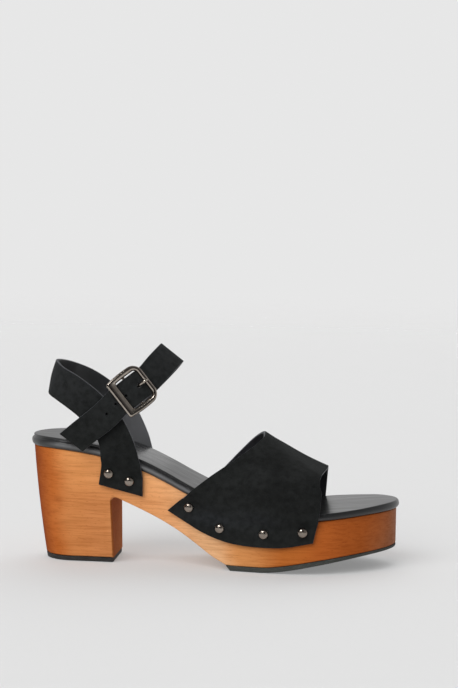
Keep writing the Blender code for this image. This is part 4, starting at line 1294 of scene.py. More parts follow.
@dataclass(frozen=True)
class Footbed:
    """The leather-covered footbed: a rolled edge with a groove under its rim, and a slightly dished top."""

    rim: float = 0.0020
    tuck: float = 0.0020
    waist: float = 0.40
    groove: float = 0.0009
    groove_at: float = 0.80
    groove_spread: float = 0.13
    groove_fades: tuple[float, float] = (0.165, 0.200)
    # Where the painted highlight lies on the rolled side, as a share of the thickness, and how wide it is.
    highlight_band_at: float = 0.40
    highlight_band_spread: float = 0.17
    dish: float = 0.0007
    crown: float = 0.0003
    inner_lift: float = 0.0003
    lift_rises: tuple[float, float] = (0.180, 0.196)
    # The lift has to be gone before the sides meet at the toe, or the mesh opens there.
    lift_falls: tuple[float, float] = (0.222, 0.237)
    toe_lift: float = 0.0008
    toe_rises: tuple[float, float] = (0.180, 0.200)
    tip_lift: float = 0.0006
    tip_rises: tuple[float, float] = (0.212, 0.236)
    heel_dish_falls: tuple[float, float] = (0.035, 0.085)
    ball_dish: float = 0.8
    ball_rises: tuple[float, float] = (0.120, 0.150)
    ball_falls: tuple[float, float] = (0.175, 0.205)
    # Where along the shoe the painted highlight starts.
    highlight_band_rises: tuple[float, float] = (0.010, 0.024)
    lift_across: tuple[float, float] = (-0.4, 1.0)
    bowl_rises: tuple[float, float] = (0.0, 0.02)
    bowl_falls: tuple[float, float] = (LENGTH - 0.03, LENGTH)
    tuck_points: int = 9
    rim_points: int = 27
    rim_power: float = 0.8
    stations: int = 150
    across: int = 26

    def edge(self) -> Array:
        """The rolled side as columns of inset, share of the thickness, and depth of the groove.

        Below the waist a quarter ellipse turns in to the wood, inset = tuck * (1 - cos(a)). Above it another
        one, inset = rim * (1 - cos(a) ** rim_power) while the height rises with sin(a), bends over into the
        top. The groove is a bell curve, exp(-((share - groove_at) / groove_spread) ** 2).
        """
        under = np.linspace(math.pi / 2, 0.0, self.tuck_points + 1)[:-1]
        tucked = np.column_stack((self.tuck * (1 - np.cos(under)), self.waist * (1 - np.sin(under))))
        turn = np.linspace(0.0, math.pi / 2, self.rim_points)
        rounded = self.rim * (1 - np.abs(np.cos(turn)) ** self.rim_power)
        bent = np.column_stack((rounded, self.waist + (1 - self.waist) * np.sin(turn)))
        side = np.concatenate((tucked, bent))
        bell = np.exp(-(((side[:, 1] - self.groove_at) / self.groove_spread) ** 2))
        return np.column_stack((side, self.groove * bell))

    def shell(self, last: Last) -> Shell:
        """Each section is a closed ring: the rolled side, the top, the other side and the underside."""
        share = (1 - np.cos(np.linspace(0.0, math.pi, self.stations))) / 2
        edge = self.edge()
        inset, rise, groove = edge[:, 0][None], edge[:, 1][None], edge[:, 2][None]
        share = share[:, None] * np.ones_like(inset)
        inset = inset + groove * (1 - fade(share * LENGTH, *self.groove_fades))
        x = inset + share * (LENGTH - 2 * inset)
        fuller = self.toe_lift * fade(x, *self.toe_rises) + self.tip_lift * fade(x, *self.tip_rises)
        z = follow(WOOD_TOP, x) + GAP + rise * (last.footbed_thickness(x) + fuller)
        one = np.ones_like(share)
        outer = last.section_point(share, z, inset * one, -one, False)
        inner = last.section_point(share, z, inset * one, one, False)
        side = np.linspace(-1.0, 1.0, self.across)[None, 1:-1]
        top = bridged(outer[:, -1:], inner[:, -1:], self.across)
        bottom = bridged(inner[:, :1], outer[:, :1], self.across)
        top_x, bowl = top[..., 0], (1 - side**2) ** 1.5
        ball = self.ball_dish * hump(top_x, self.ball_rises, self.ball_falls)
        hollow = np.maximum(1 - fade(top_x, *self.heel_dish_falls), ball)
        ends = hump(top_x, self.bowl_rises, self.bowl_falls)
        lift = fade(side, *self.lift_across) * hump(top_x, self.lift_rises, self.lift_falls)
        top[..., 2] += self.inner_lift * lift
        inner[..., 2] += self.inner_lift * rise * hump(inner[..., 0], self.lift_rises, self.lift_falls)
        top[..., 2] += ends * bowl * (self.crown - self.dish * hollow)
        rings = np.concatenate((outer, top, inner[:, ::-1], bottom), axis=1)
        return grid_shell(last.place(rings), wrap_columns=True)

    def burnish(self, piece: Object, last: Last) -> None:
        """Notes how much painted highlight each point takes: a bell curve of its share of the thickness,
        gone at both ends.
        """
        points = np.empty(3 * len(piece.data.vertices), dtype=np.float32)
        piece.data.vertices.foreach_get("co", points)
        points = points.reshape(-1, 3)
        x = points[:, 0] + LENGTH / 2
        share = (points[:, 2] - follow(WOOD_TOP, x) - GAP) / last.footbed_thickness(x)
        bell = np.exp(-(((share - self.highlight_band_at) / self.highlight_band_spread) ** 2))
        along = hump(x, self.highlight_band_rises, self.groove_fades)
        painted_highlight = piece.data.attributes.new("burnish", "FLOAT", "POINT")
        painted_highlight.data.foreach_set("value", (bell * along).astype(np.float32))

    def build(self, last: Last, finishes: "Wardrobe") -> None:
        """Makes the piece."""
        piece = object_from("rolled_footbed", self.shell(last), 60.0)
        # Marks the band of the rolled side that takes the painted highlight.
        self.burnish(piece, last)
        dress(piece, Slot.FOOTBED, ["footbed"], finishes.footbed)


# ---------------------------------------------------------------- leather bands


@dataclass(frozen=True)
class Nail:
    """A domed nail head: where it sits on its band, and which way it faces."""

    name: str
    node: str
    seat: Array
    facing: Array


# The two waves of a band's ripple, in radians for each metre along X, Y and Z.
WAVES = np.array(((95.0, 60.0, 140.0), (210.0, -90.0, 75.0)))


def inner_lag(x: Array, start: float, end: float) -> Array:
    """How much further forward the vamp lies on its inner side, fading from start to end."""
    return VAMP_INNER_LAG * (1 - fade(x, start, end))


def nails_of(band: str) -> list[Nail]:
    """The nails of one band, on both sides, in the last's frame."""
    places = NAILS[band]
    found = []
    for side in Side:
        for number, place in enumerate(places, 1):
            lags = side is Side.INNER and band == "vamp"
            lag = float(inner_lag(place.x, places[0].x, places[-1].x)) if lags else 0.0
            x, z, step = place.x + lag, place.z - VAMP_LAG_DROP * lag, 0.001
            y, ahead, above = (
                float(Last.beside_block(a, b, side)) for a, b in ((x, z), (x + step, z), (x, z + step))
            )
            facing = np.array(((y - ahead) / step, 1.0, (y - above) / step)) * side
            facing /= np.linalg.norm(facing)
            seat = np.array((x, y, z)) + facing * BAND_THICKNESS
            name = f"{band}_{side.name.lower()}_{number}"
            found.append(Nail(f"nail_head_{name}", f"stud_{name}", seat, facing))
    return found


def dents(band: str) -> Callable[[Array], Array]:
    """How far nails press a band in: the sum over its nails of -depth * exp(-(distance / spread) ** 2)."""
    seats = np.array([nail.seat for nail in nails_of(band)])

    def pressed(points: Array) -> Array:
        """The offset along the normal at each point."""
        distance = np.linalg.norm(points[..., None, :] - seats, axis=-1)
        return -DENT_DEPTH * np.exp(-((distance / DENT_SPREAD) ** 2)).sum(axis=-1)

    return pressed


def flat_relief(points: Array) -> Array:
    """No relief."""
    return np.zeros(points.shape[:-1])


# Where grid lines lie within a band's edge, as shares of its width.
HIDE_STEPS = np.array((0.0, 0.03, 0.12, 0.32, 0.62, 1.0))


@dataclass(frozen=True)
class Hide:
    """A leather band: a net thickened to a closed shell whose cut edges are square with a small round.

    At distance d from the nearest edge the half thickness is T / 2 * (1 - (1 - d / r) ** 4) ** (1 / 4), so
    the outside and the lining meet along the edge. The net is the inner face where middle is 1, and the
    middle of the leather where it is 0.
    """

    net: Net
    thickness: float
    middle: float
    rows: int
    columns: int
    relief: Callable[[Array], Array] = flat_relief
    edge: float = 0.00055
    wave: float = 0.0
    cut_below: float = 0.98

    @staticmethod
    def lines(count: int) -> tuple[Array, Array, Array]:
        """Grid lines as distances from the start and from the end, and shares of what lies between."""
        between, one = np.linspace(0.0, 1.0, count)[1:-1], np.ones_like(HIDE_STEPS)
        start = np.concatenate((HIDE_STEPS, np.ones_like(between), one))
        end = np.concatenate((one, np.ones_like(between), HIDE_STEPS[::-1]))
        return start, end, np.concatenate((0 * one, between, one))

    def reach(self, fixed: Array, along_rows: bool) -> Array:
        """Length of the net's line at each fixed share, along its rows or along its columns."""
        run = np.linspace(0.0, 1.0, 41)
        first, second = np.meshgrid(run, fixed, indexing="ij")
        points = self.net.at(first, second) if along_rows else self.net.at(second, first)
        return np.linalg.norm(np.diff(points, axis=0), axis=-1).sum(axis=0)

    def spread(self, start: Array, end: Array, share: Array, length: Array) -> Array:
        """Where grid lines lie on lines of a length, as shares: close together within edge of both ends."""
        found = self.edge * start / length + share * (1 - 2 * self.edge / length)
        return found + np.where(share == 1.0, self.edge * (1 - end) / length, 0.0)

    @staticmethod
    def fullness(start: Array, end: Array) -> Array:
        """Share of the full thickness at distances from the start and the end."""
        return (1 - (1 - np.minimum(start, end)) ** 4) ** 0.25

    def shares(self) -> tuple[Array, Array, Array]:
        """Shares u and v of every grid point, and the fullness of the leather there."""
        u_start, u_end, u_share = (line[:, None] for line in self.lines(self.rows))
        v_start, v_end, v_share = (line[None, :] for line in self.lines(self.columns))
        u = self.spread(u_start, u_end, u_share, self.reach(v_share[0], True)[None, :])
        v = self.spread(v_start, v_end, v_share, self.reach(u_share[:, 0], False)[:, None])
        return u, v, self.fullness(u_start, u_end) * self.fullness(v_start, v_end)

    def shell(self, last: Last) -> Shell:
        """The closed shell in the shoe's frame, with its faces sorted into outside, lining and cut edge."""
        u, v, full = self.shares()
        points, normal = self.net.at(u, v), self.net.normal(u, v)
        ripple = self.wave * np.sin(points @ WAVES.T).sum(axis=-1)
        lift = self.middle * self.thickness / 2 + self.relief(points) + ripple
        middle = points + lift[..., None] * normal
        half = (self.thickness / 2 * full)[..., None] * normal
        count = u.size
        outside = grid_faces(*u.shape)
        lining = outside[:, ::-1] + count
        edge = (full < self.cut_below).ravel()
        at_edge = edge[outside].all(axis=1)
        finishes = np.concatenate(
            [np.where(at_edge, HideFace.CUT_EDGE, face) for face in (HideFace.OUTSIDE, HideFace.LINING)]
        )
        both = np.concatenate(((middle + half).reshape(-1, 3), (middle - half).reshape(-1, 3)))
        return Shell(last.place(both), np.concatenate((outside, lining)), finishes)


def beside_block_points(flat: Array, side: Side) -> Array:
    """Side-view points as points of a band's inner face, beside the block."""
    x, z = flat.T
    return np.column_stack((x, Last.beside_block(x, z, side), z))


@dataclass(frozen=True)
class Vamp:
    """The wide suede band over the forefoot, nailed to both sides of the block."""

    rows: int = 74
    columns: int = 150
    rear_bulge: float = 0.0020
    rear_dip: float = 0.0017
    front_tuck: float = 0.0024
    front_square: float = 0.14
    under_joint: float = -0.0034
    over_joint: float = 0.0012
    climb_degrees: tuple[float, ...] = (10, 25, 45, 65, 80)
    dip_rises: tuple[float, float] = (0.30, 0.75)
    dip_falls: tuple[float, float] = (0.97, 1.02)
    tuck_rises: tuple[float, float] = (0.55, 0.90)
    sag: Array = field(default_factory=lambda: np.array((0.64, 0.0, -0.77)))

    @staticmethod
    def share_to_joint(hem: Array, rim: Array, offset: float) -> float:
        """The share up the line from hem to rim where it passes the block's top edge plus offset."""
        shares = np.linspace(0.0, 1.0, 101)
        x = hem[0] + shares * (rim[0] - hem[0])
        z = hem[1] + shares * (rim[1] - hem[1])
        return float(np.interp(0.0, z - follow(WOOD_TOP, x) - offset, shares))

    def half_section(self, row: VampRow, side: Side) -> Array:
        """Control points up one side of the vamp, from the hem to just short of the ridge.

        Up to the footbed's rim they lie beside the block. Above it they follow a superellipse quarter: up is
        sin(a) ** square and out is cos(a) ** square.

        Args:
            row: The section.
            side: Which side.

        Returns:
            Points x 3.
        """
        lag = float(inner_lag(row.rim_x, VAMP[0].rim_x, VAMP[-1].rim_x)) if side is Side.INNER else 0.0
        rim_x = row.rim_x + lag
        hem = np.array((row.hem_x + lag, row.hem_z - VAMP_LAG_DROP * lag))
        rim = np.array((rim_x, float(Last.footbed_top(rim_x))))
        under = self.share_to_joint(hem, rim, self.under_joint)
        over = self.share_to_joint(hem, rim, self.over_joint)
        flat = hem + np.array((0.0, under / 2, under, over, 1.0))[:, None] * (rim - hem)
        lower = beside_block_points(flat, side)
        to_ridge = np.array((row.crest_x, 0.0, row.crest_z)) - lower[-1]
        near_rear = 1 - float(fade(row.hem_x, VAMP[0].hem_x, VAMP[3].hem_x))
        near_front = float(fade(row.hem_x, VAMP[3].hem_x, VAMP[-1].hem_x))
        outer_square = row.outer_square - self.front_square * near_front
        square = outer_square if side is Side.OUTER else row.inner_square
        angle = np.radians(self.climb_degrees)
        up, out = np.sin(angle) ** square, np.cos(angle) ** square
        forward = up - lag / to_ridge[0] * up * (1 - up)
        points = lower[-1] + np.column_stack((forward, 1 - out, up)) * to_ridge
        if side is Side.OUTER:
            dip = self.rear_dip * near_rear * hump(up, self.dip_rises, self.dip_falls)
            points += dip[:, None] * self.sag
            points[:, 0] -= self.front_tuck * near_front * fade(up, *self.tuck_rises) * np.sqrt(out)
        else:
            points -= (self.rear_bulge * near_rear * up**2 * (1 - up**12))[:, None] * self.sag
        return np.concatenate((lower, points))

    def net(self) -> Net:
        """Sections from the rear mouth to the front mouth, each from the outer hem to the inner hem."""
        sections = []
        for row in VAMP:
            outer = self.half_section(row, Side.OUTER)
            inner = self.half_section(row, Side.INNER)
            sections.append(np.concatenate((outer, [(row.crest_x, 0.0, row.crest_z)], inner[::-1])))
        return Net(np.array(sections))

    def build(self, last: Last, finishes: "Wardrobe") -> None:
        """Makes the piece."""
        hide = Hide(self.net(), BAND_THICKNESS, 1.0, self.rows, self.columns, dents("vamp"), wave=0.00007)
        piece = object_from("suede_vamp", hide.shell(last), BAND_SHARP)
        dress(piece, Slot.SUEDE, ["vamp"], finishes.suede, finishes.vamp_lining, finishes.cut_edge)


@dataclass(frozen=True)
class BuckleAxes:
    """The buckle's place: X along the strap to the instep, Y to its upper edge, Z outwards."""

    along: float = 0.1299
    across: float = -0.0303
    out: float = 0.0342
    turn_in: float = math.radians(17.0)
    skew: float = math.radians(-6.0)

    def axes(self) -> Array:
        """The three axes as rows."""
        along = math.cos(self.turn_in) * ALONG - math.sin(self.turn_in) * OUTWARD
        x_axis = math.cos(self.skew) * along - math.sin(self.skew) * ACROSS
        y_axis = -(math.cos(self.skew) * ACROSS + math.sin(self.skew) * along)
        return np.array((x_axis, y_axis, np.cross(x_axis, y_axis)))

    def origin(self) -> Array:
        """The buckle's middle."""
        return self.along * ALONG + self.across * ACROSS + self.out * OUTWARD

    def place(self, points: Array) -> Array:
        """Points of the buckle's frame in the last's frame."""
        return self.origin() + np.asarray(points, float) @ self.axes()


def ring_round_bar(radius: float) -> Array:
    """A circle of points round the buckle's centre bar, in the buckle's frame."""
    turn = full_turn(RING_POINTS)
    return np.column_stack((radius * np.cos(turn), 0 * turn, radius * np.sin(turn) - BAR_DROP))


def strap_section(row: StrapRow, width: float) -> Array:
    """Upper edge, middle and lower edge of a strap at a row of its tables."""
    middle = row.along * ALONG + row.across * ACROSS - row.y * OUTWARD
    reach = (ACROSS + math.tan(math.radians(row.slant)) * ALONG) * (width / 2)
    return np.array((middle - reach, middle, middle + reach))


def buckled_section(row: BuckleRow, place: BuckleAxes, width: float) -> Array:
    """The same three points at a row inside the buckle."""
    return place.place([(row.along, y, row.rise) for y in (width / 2, 0.0, -width / 2)])


@dataclass(frozen=True)
class Straps:
    """Heel strap, ankle strap and the tab that holds the buckle."""

    place: BuckleAxes = field(default_factory=BuckleAxes)
    hole_pitch: float = 0.0086
    hole_radius: float = 0.0009
    hole_count: int = 3
    prong_hole_radius: float = 0.00175
    tab_width: float = 0.015
    tab_thickness: float = 0.0012
    tab_slot: float = 0.0032
    tab_turn_inside: float = 0.0013
    wave: float = 0.00004
    heel_grid: tuple[int, int] = (190, 30)
    ankle_grid: tuple[int, int] = (240, 26)
    tab_grid: tuple[int, int] = (60, 20)
    hole_lead: float = 0.0030
    pin_half: float = 0.004
    prong_hole: tuple[Point, ...] = ((0.0028, 0, -0.0014), (0.0046, 0, 0.0007), (0.0066, 0, 0.0030))

    def heel_net(self) -> Net:
        """The strap nailed to the heel: sections from the outer hem, round the back, to the inner hem."""
        half = []
        for row in HEEL_STRAP_FOOT:
            low, high = np.array((row.low_x, row.low_z)), np.array((row.high_x, row.high_z))
            half.append(beside_block_points(np.array((high, (low + high) / 2, low)), Side.OUTER))
        for row in HEEL_STRAP_LOOP:
            low = np.array((row.low_x, float(Last.centre_line(row.low_x)) - row.low_half, row.low_z))
            high = np.array((row.high_x, float(Last.centre_line(row.high_x)) - row.high_half, row.high_z))
            half.append(np.array((high, (low + high) / 2, low)))
        outer = np.array(half)
        out = np.cross(outer[:, 0] - outer[:, 2], np.gradient(outer[:, 1], axis=0))
        out /= np.linalg.norm(out, axis=1, keepdims=True)
        looped = slice(len(HEEL_STRAP_FOOT), None)
        outer[looped, 1] += LOOP_BOW * out[looped]
        inner = outer.copy()
        inner[..., 1] = 2 * Last.centre_line(outer[..., 0]) - outer[..., 1]
        return Net(np.concatenate((outer, inner[-2::-1])))

    def threaded_net(self, width: float, *runs: Sequence[StrapRow | BuckleRow]) -> Net:
        """A strap that follows tables of rows, some of them inside the buckle."""
        sections = []
        for row in (row for run in runs for row in run):
            if isinstance(row, StrapRow):
                sections.append(strap_section(row, width))
            else:
                sections.append(buckled_section(row, self.place, width))
        return Net(np.array(sections)[:, ::-1])

    def hole_cutters(self, last: Last, net: Net) -> list[Object]:
        """Pins that cut the free holes and the prong's hole, spaced along the strap's middle line."""
        shares = np.linspace(0.0, 1.0, 1201)
        line = net.at(shares, np.full_like(shares, 0.5))
        travelled = np.concatenate(([0.0], np.cumsum(np.linalg.norm(np.diff(line, axis=0), axis=1))))
        buckle_middle = (len(STRAP_TAIL) + 2) / (len(net.points) - 1)
        start = float(np.interp(buckle_middle, shares, travelled)) + self.hole_lead
        pins = []
        for number in range(1, self.hole_count + 1):
            reach = start - self.hole_pitch * number
            centre = np.array([np.interp(reach, travelled, line[:, k]) for k in range(3)])
            path = centre + np.outer(np.linspace(self.pin_half, -self.pin_half, 5), OUTWARD)
            pins.append((f"hole_{number}", path, ACROSS, self.hole_radius))
        pins.append(
            ("prong_hole", self.place.place(self.prong_hole), self.place.axes()[1], self.prong_hole_radius)
        )
        cutters = []
        for name, path, up, radius in pins:
            shell = rod_shell(last.place(path), up, oval(radius, radius, ROD_SIDES))
            shell.finishes[:] = HideFace.CUT_EDGE
            cutters.append(object_from(name, shell))
        return cutters

    def tab_turn(self, last: Last) -> Shell:
        """The tab's turn round the centre bar: two flat rings, one on each side of the prong's slot."""
        path = ring_round_bar(self.tab_turn_inside + self.tab_thickness / 2)
        half = (self.tab_width - self.tab_slot) / 4
        section = oval(self.tab_thickness / 2, half, 28, 6.0)
        shells = []
        for side in LEFT_AND_RIGHT:
            lane = self.place.place(path + np.array((0.0, side * (self.tab_slot / 2 + half), 0.0)))
            shells.append(rod_shell(last.place(lane), self.place.axes()[1], section, closed=True))
        both = shells[0].joined(shells[1])
        both.finishes[:] = HideFace.OUTSIDE
        return both

    def build(self, last: Last, finishes: "Wardrobe") -> None:
        """Makes the three pieces."""
        leather = (finishes.suede, finishes.lining, finishes.cut_edge)
        relief = dents("heel_strap")
        hide = Hide(self.heel_net(), BAND_THICKNESS, 1.0, *self.heel_grid, relief, wave=self.wave)
        heel = object_from("suede_heel_strap", hide.shell(last), BAND_SHARP)
        dress(heel, Slot.SUEDE, ["heel_and_ankle_strap"], *leather)
        net = self.threaded_net(STRAP_WIDTH, STRAP_TAIL, STRAP_IN_BUCKLE, STRAP_ROUND_INSTEP)
        hide = Hide(net, STRAP_THICKNESS, 0.0, *self.ankle_grid, wave=self.wave)
        ankle = object_from("suede_ankle_strap", hide.shell(last), BAND_SHARP)
        punch(ankle, self.hole_cutters(last, net))
        ankle.data.shade_smooth()
        ankle.data.set_sharp_from_angle(angle=math.radians(BAND_SHARP))
        dress(ankle, Slot.SUEDE, ["heel_and_ankle_strap"], *leather)
        net = self.threaded_net(self.tab_width, TAB_TAIL, TAB_IN_BUCKLE)
        flat = Hide(net, self.tab_thickness, 0.0, *self.tab_grid).shell(last)
        shell = flat.joined(self.tab_turn(last))
        dress(object_from("suede_buckle_tab", shell, BAND_SHARP), Slot.SUEDE, ["buckle_tab"], *leather)


# ---------------------------------------------------------------- buckle and nails


# How a lug's ends are rounded: how far from the end, and how large the section is there.
LUG_STEPS = np.array((0.0, 0.0003, 0.001))
LUG_SIZES = np.array((0.80, 0.95, 1.0))


@dataclass(frozen=True)
class Buckle:
    """The plated buckle: a domed frame, two lugs with a centre bar, and a prong."""

    place: BuckleAxes = field(default_factory=BuckleAxes)
    back: float = -0.0122
    front: float = 0.0122
    half_width: float = 0.0129
    window_back: float = -0.0067
    window_front: float = 0.0089
    window_half: float = 0.0097
    bow: float = 0.0011
    window_bow: float = 0.0004
    thickness: float = 0.0024
    front_corner: float = 0.0062
    small_corner: float = 0.0014
    window_back_corner: float = 0.0010
    window_front_corner: float = 0.0024
    lift: float = 0.00035
    bar_radius: float = 0.0010
    lug_outside: float = 0.0012
    lug_below: float = 0.0004
    lug_half: tuple[float, float] = (0.0017, 0.00115)
    loop_half: tuple[float, float] = (0.00042, 0.0012)
    tip_size: float = 0.92
    prong_radius: float = 0.0010
    prong_tip: float = 0.0006
    prong_sag: float = 0.0003
    loop_clearance: float = 0.0007

    def underside(self) -> float:
        """Height of the frame's flat underside over the strap's middle."""
        return STRAP_THICKNESS / 2 + self.lift

    def bowed(self, line: Array, bow: float) -> Array:
        """An outline's points with its side bars bowed out by bow * (1 - share ** 2)."""
        middle = (self.back + self.front) / 2
        share = np.clip((line[:, 0] - middle) / (self.front - middle), -1.0, 1.0)
        return np.column_stack((line[:, 0], line[:, 1] + np.sign(line[:, 1]) * bow * (1 - share**2)))

    def outline(
        self, back: float, front: float, half: float, back_corner: float, front_corner: float, bow: float
    ) -> Array:
        """A closed outline, counterclockwise: quarter turns at the corners, straight runs between them."""
        turn = np.linspace(0.0, math.pi / 2, 13)
        cross = np.linspace(0.0, half - front_corner, 9)[:-1]
        first = np.column_stack((np.full(8, front), cross))
        x, y = front - front_corner, half - front_corner
        corner = np.column_stack((x + front_corner * np.cos(turn), y + front_corner * np.sin(turn)))
        run = np.linspace(front - front_corner, back + back_corner, 15)[1:-1]
        side = np.column_stack((run, np.full(len(run), half)))
        x, y = back + back_corner, half - back_corner
        rear = np.column_stack((x - back_corner * np.sin(turn), y + back_corner * np.cos(turn)))
        end = np.column_stack((np.full(8, back), np.linspace(half - back_corner, 0.0, 9)[1:]))
        upper = np.concatenate((first, self.bowed(np.concatenate((corner, side, rear)), bow), end))
        mirrored = upper[-2:0:-1] * np.array((1.0, -1.0))
        return np.concatenate((upper, mirrored))

    def frame(self) -> Shell:
        """The frame in its own axes: each section runs from the outer to the window's outline, domed."""
        outer = self.outline(
            self.back, self.front, self.half_width, self.small_corner, self.front_corner, self.bow
        )
        inner = self.outline(
            self.window_back,
            self.window_front,
            self.window_half,
            self.window_back_corner,
            self.window_front_corner,
            self.window_bow,
        )
        dome = smooth_run(BUCKLE_DOME, 31)
        share, height = dome[None, :, :1], dome[None, :, 1]
        flat = outer[:, None, :] * (1 - share) + inner[:, None, :] * share
        z = self.underside() + np.broadcast_to(height * self.thickness, flat.shape[:2])
        return grid_shell(np.dstack((flat, z)), wrap_rows=True, wrap_columns=True)

    def lugs(self) -> Shell:
        """Two rounded cheeks under the side bars, and the centre bar between them."""
        low, high = -BAR_DROP - self.bar_radius - self.lug_below, self.underside() + self.thickness / 2
        middle = self.window_half + self.bow + self.lug_outside
        run = np.linspace(-middle, middle, 9)
        bar = np.column_stack((0 * run, run, 0 * run - BAR_DROP))
        rise = np.concatenate((low + LUG_STEPS, (high - LUG_STEPS)[::-1]))
        sizes = np.concatenate((LUG_SIZES, LUG_SIZES[::-1]))
        cheeks = []
        for side in LEFT_AND_RIGHT:
            path = np.column_stack((0 * rise, 0 * rise + side * middle, rise))
            cheeks.append(rod_shell(path, SIDEWAYS, oval(*self.lug_half, 24, 5.0), sizes=sizes))
        rod = rod_shell(bar, np.array((0.0, 0.0, 1.0)), oval(self.bar_radius, self.bar_radius, ROD_SIDES))
        return cheeks[0].joined(cheeks[1]).joined(rod)

    def prong(self) -> Shell:
        """A tongue that rises through the strap on to the front bar, and its loop round the centre bar."""
        rest = self.underside() + self.thickness + self.prong_radius
        stations = (
            (0.0012, 0.0, self.prong_radius - BAR_DROP),
            (0.0042, 0.0, 0.0006),
            (0.0062, 0.0, 0.0028),
            (0.0082, 0.0, rest - self.prong_sag),
            (0.0102, 0.0, rest),
            (self.front - self.prong_tip, 0.0, rest - self.prong_sag),
        )
        path = smooth_run(stations, 44)
        tip = self.tip_size * np.sqrt(1 - np.linspace(0.25, 0.98, 6) ** 2)
        sizes = np.concatenate((np.linspace(1.0, self.tip_size, len(path) - len(tip)), tip))
        section = oval(self.prong_radius, self.prong_radius * 1.05, ROD_SIDES)
        tongue = rod_shell(path, SIDEWAYS, section, sizes=sizes)
        ring = ring_round_bar(self.bar_radius + self.loop_clearance)
        return tongue.joined(rod_shell(ring, SIDEWAYS, oval(*self.loop_half, 16, 4.0), closed=True))

    def build(self, last: Last, finishes: "Wardrobe") -> None:
        """Makes the frame and the prong."""
        for name, shell, node in (
            ("plated_buckle_frame", self.frame().joined(self.lugs()), "buckle_frame"),
            ("plated_prong", self.prong(), "buckle_prong"),
        ):
            shell.points = last.place(self.place.place(shell.points))
            dress(object_from(name, shell), Slot.BUCKLE, [node], finishes.buckle)


@dataclass(frozen=True)
class Nails:
    """The nail heads: domes with a small flange that bites into the suede."""

    sides: int = 40

    def head(self) -> Array:
        """Rings of one head with its axis on Z: radius and height follow a dome on a thin rounded flange."""
        profile = smooth_run(NAIL_DOME, 34)
        turn = full_turn(self.sides)
        radius, height = np.maximum(profile[:, :1], 0.0) * STUD_RADIUS, profile[:, 1:] * STUD_HEIGHT
        return np.dstack((radius * np.cos(turn), radius * np.sin(turn), height + 0 * turn))

    def build(self, last: Last, finishes: "Wardrobe") -> None:
        """Makes one piece for each head: its rings, turned to the head's facing and moved to its seat."""
        rings = self.head()
        for nail in nails_of("vamp") + nails_of("heel_strap"):
            turn = np.array(Vector(nail.facing).to_track_quat("Z", "Y").to_matrix())
            shell = grid_shell(last.place(nail.seat + rings @ turn.T), wrap_columns=True)
            dress(object_from(nail.name, shell, 60.0), Slot.STUD, [nail.node], finishes.stud)


# ---------------------------------------------------------------- wardrobe and studio


@dataclass(frozen=True)
class Wardrobe:
    """Every material of the shoe."""

    wood: Material
    heel_rubber: Material
    sole_rubber: Material
    footbed: Material
    suede: Material
    lining: Material
    vamp_lining: Material
    cut_edge: Material
    buckle: Material
    stud: Material

    @classmethod
    def made(cls) -> "Wardrobe":
        """The materials, each from its finish."""
        return cls(
            wood=WoodFinish().made(),
            heel_rubber=RubberFinish("heel_rubber", (0.020, 0.019, 0.018), (0.040, 0.038, 0.036)).made(),
            sole_rubber=RubberFinish("sole_rubber", (0.040, 0.042, 0.038), (0.060, 0.062, 0.056)).made(),
            footbed=LeatherFinish(
                "footbed_leather",
                (0.0085, 0.0088, 0.0092),
                (0.0140, 0.0140, 0.0144),
                roughness=0.24,
                coat=0.20,
                coat_roughness=0.18,
                specular=0.50,
                # Painted highlight along the rolled side of the footbed.
                painted_highlight_tone=(0.135, 0.137, 0.140),
                dulled=(
                    (0.0, 0.18),
                    (0.10, 0.16),
                    (0.24, 0.04),
                    (0.34, 0.06),
                    (0.40, 0.16),
                    (0.60, 0.14),
                    (0.80, 0.09),
                    (1.0, 0.11),
                ),
            ).made(),
            suede=SuedeFinish().made(),
            # Painted highlight: the lining's light grey stands in for the key light's reflection on its dark
            # leather; high up it takes a dark tone.
            lining=LeatherFinish(
                "lining_leather",
                (0.110, 0.112, 0.118),
                (0.200, 0.203, 0.212),
                roughness=0.44,
                coat=0.2,
                coat_roughness=0.30,
                lines=0.05,
                high_tone=(0.016, 0.017, 0.018),
            ).made(),
            vamp_lining=LeatherFinish(
                "vamp_lining_leather", (0.019, 0.019, 0.022), (0.030, 0.029, 0.034), roughness=0.6, coat=0.0
            ).made(),
            cut_edge=LeatherFinish(
                "cut_edge_leather",
                (0.036, 0.038, 0.044),
                (0.064, 0.068, 0.076),
                roughness=0.6,
                coat=0.0,
                lines=0.02,
            ).made(),
            buckle=MetalFinish("dark_nickel", (0.45, 0.40, 0.35), (0.27, 0.23, 0.19), 0.13).made(),
            stud=MetalFinish("antique_nickel", (0.34, 0.295, 0.255), (0.20, 0.165, 0.135), 0.22).made(),
        )


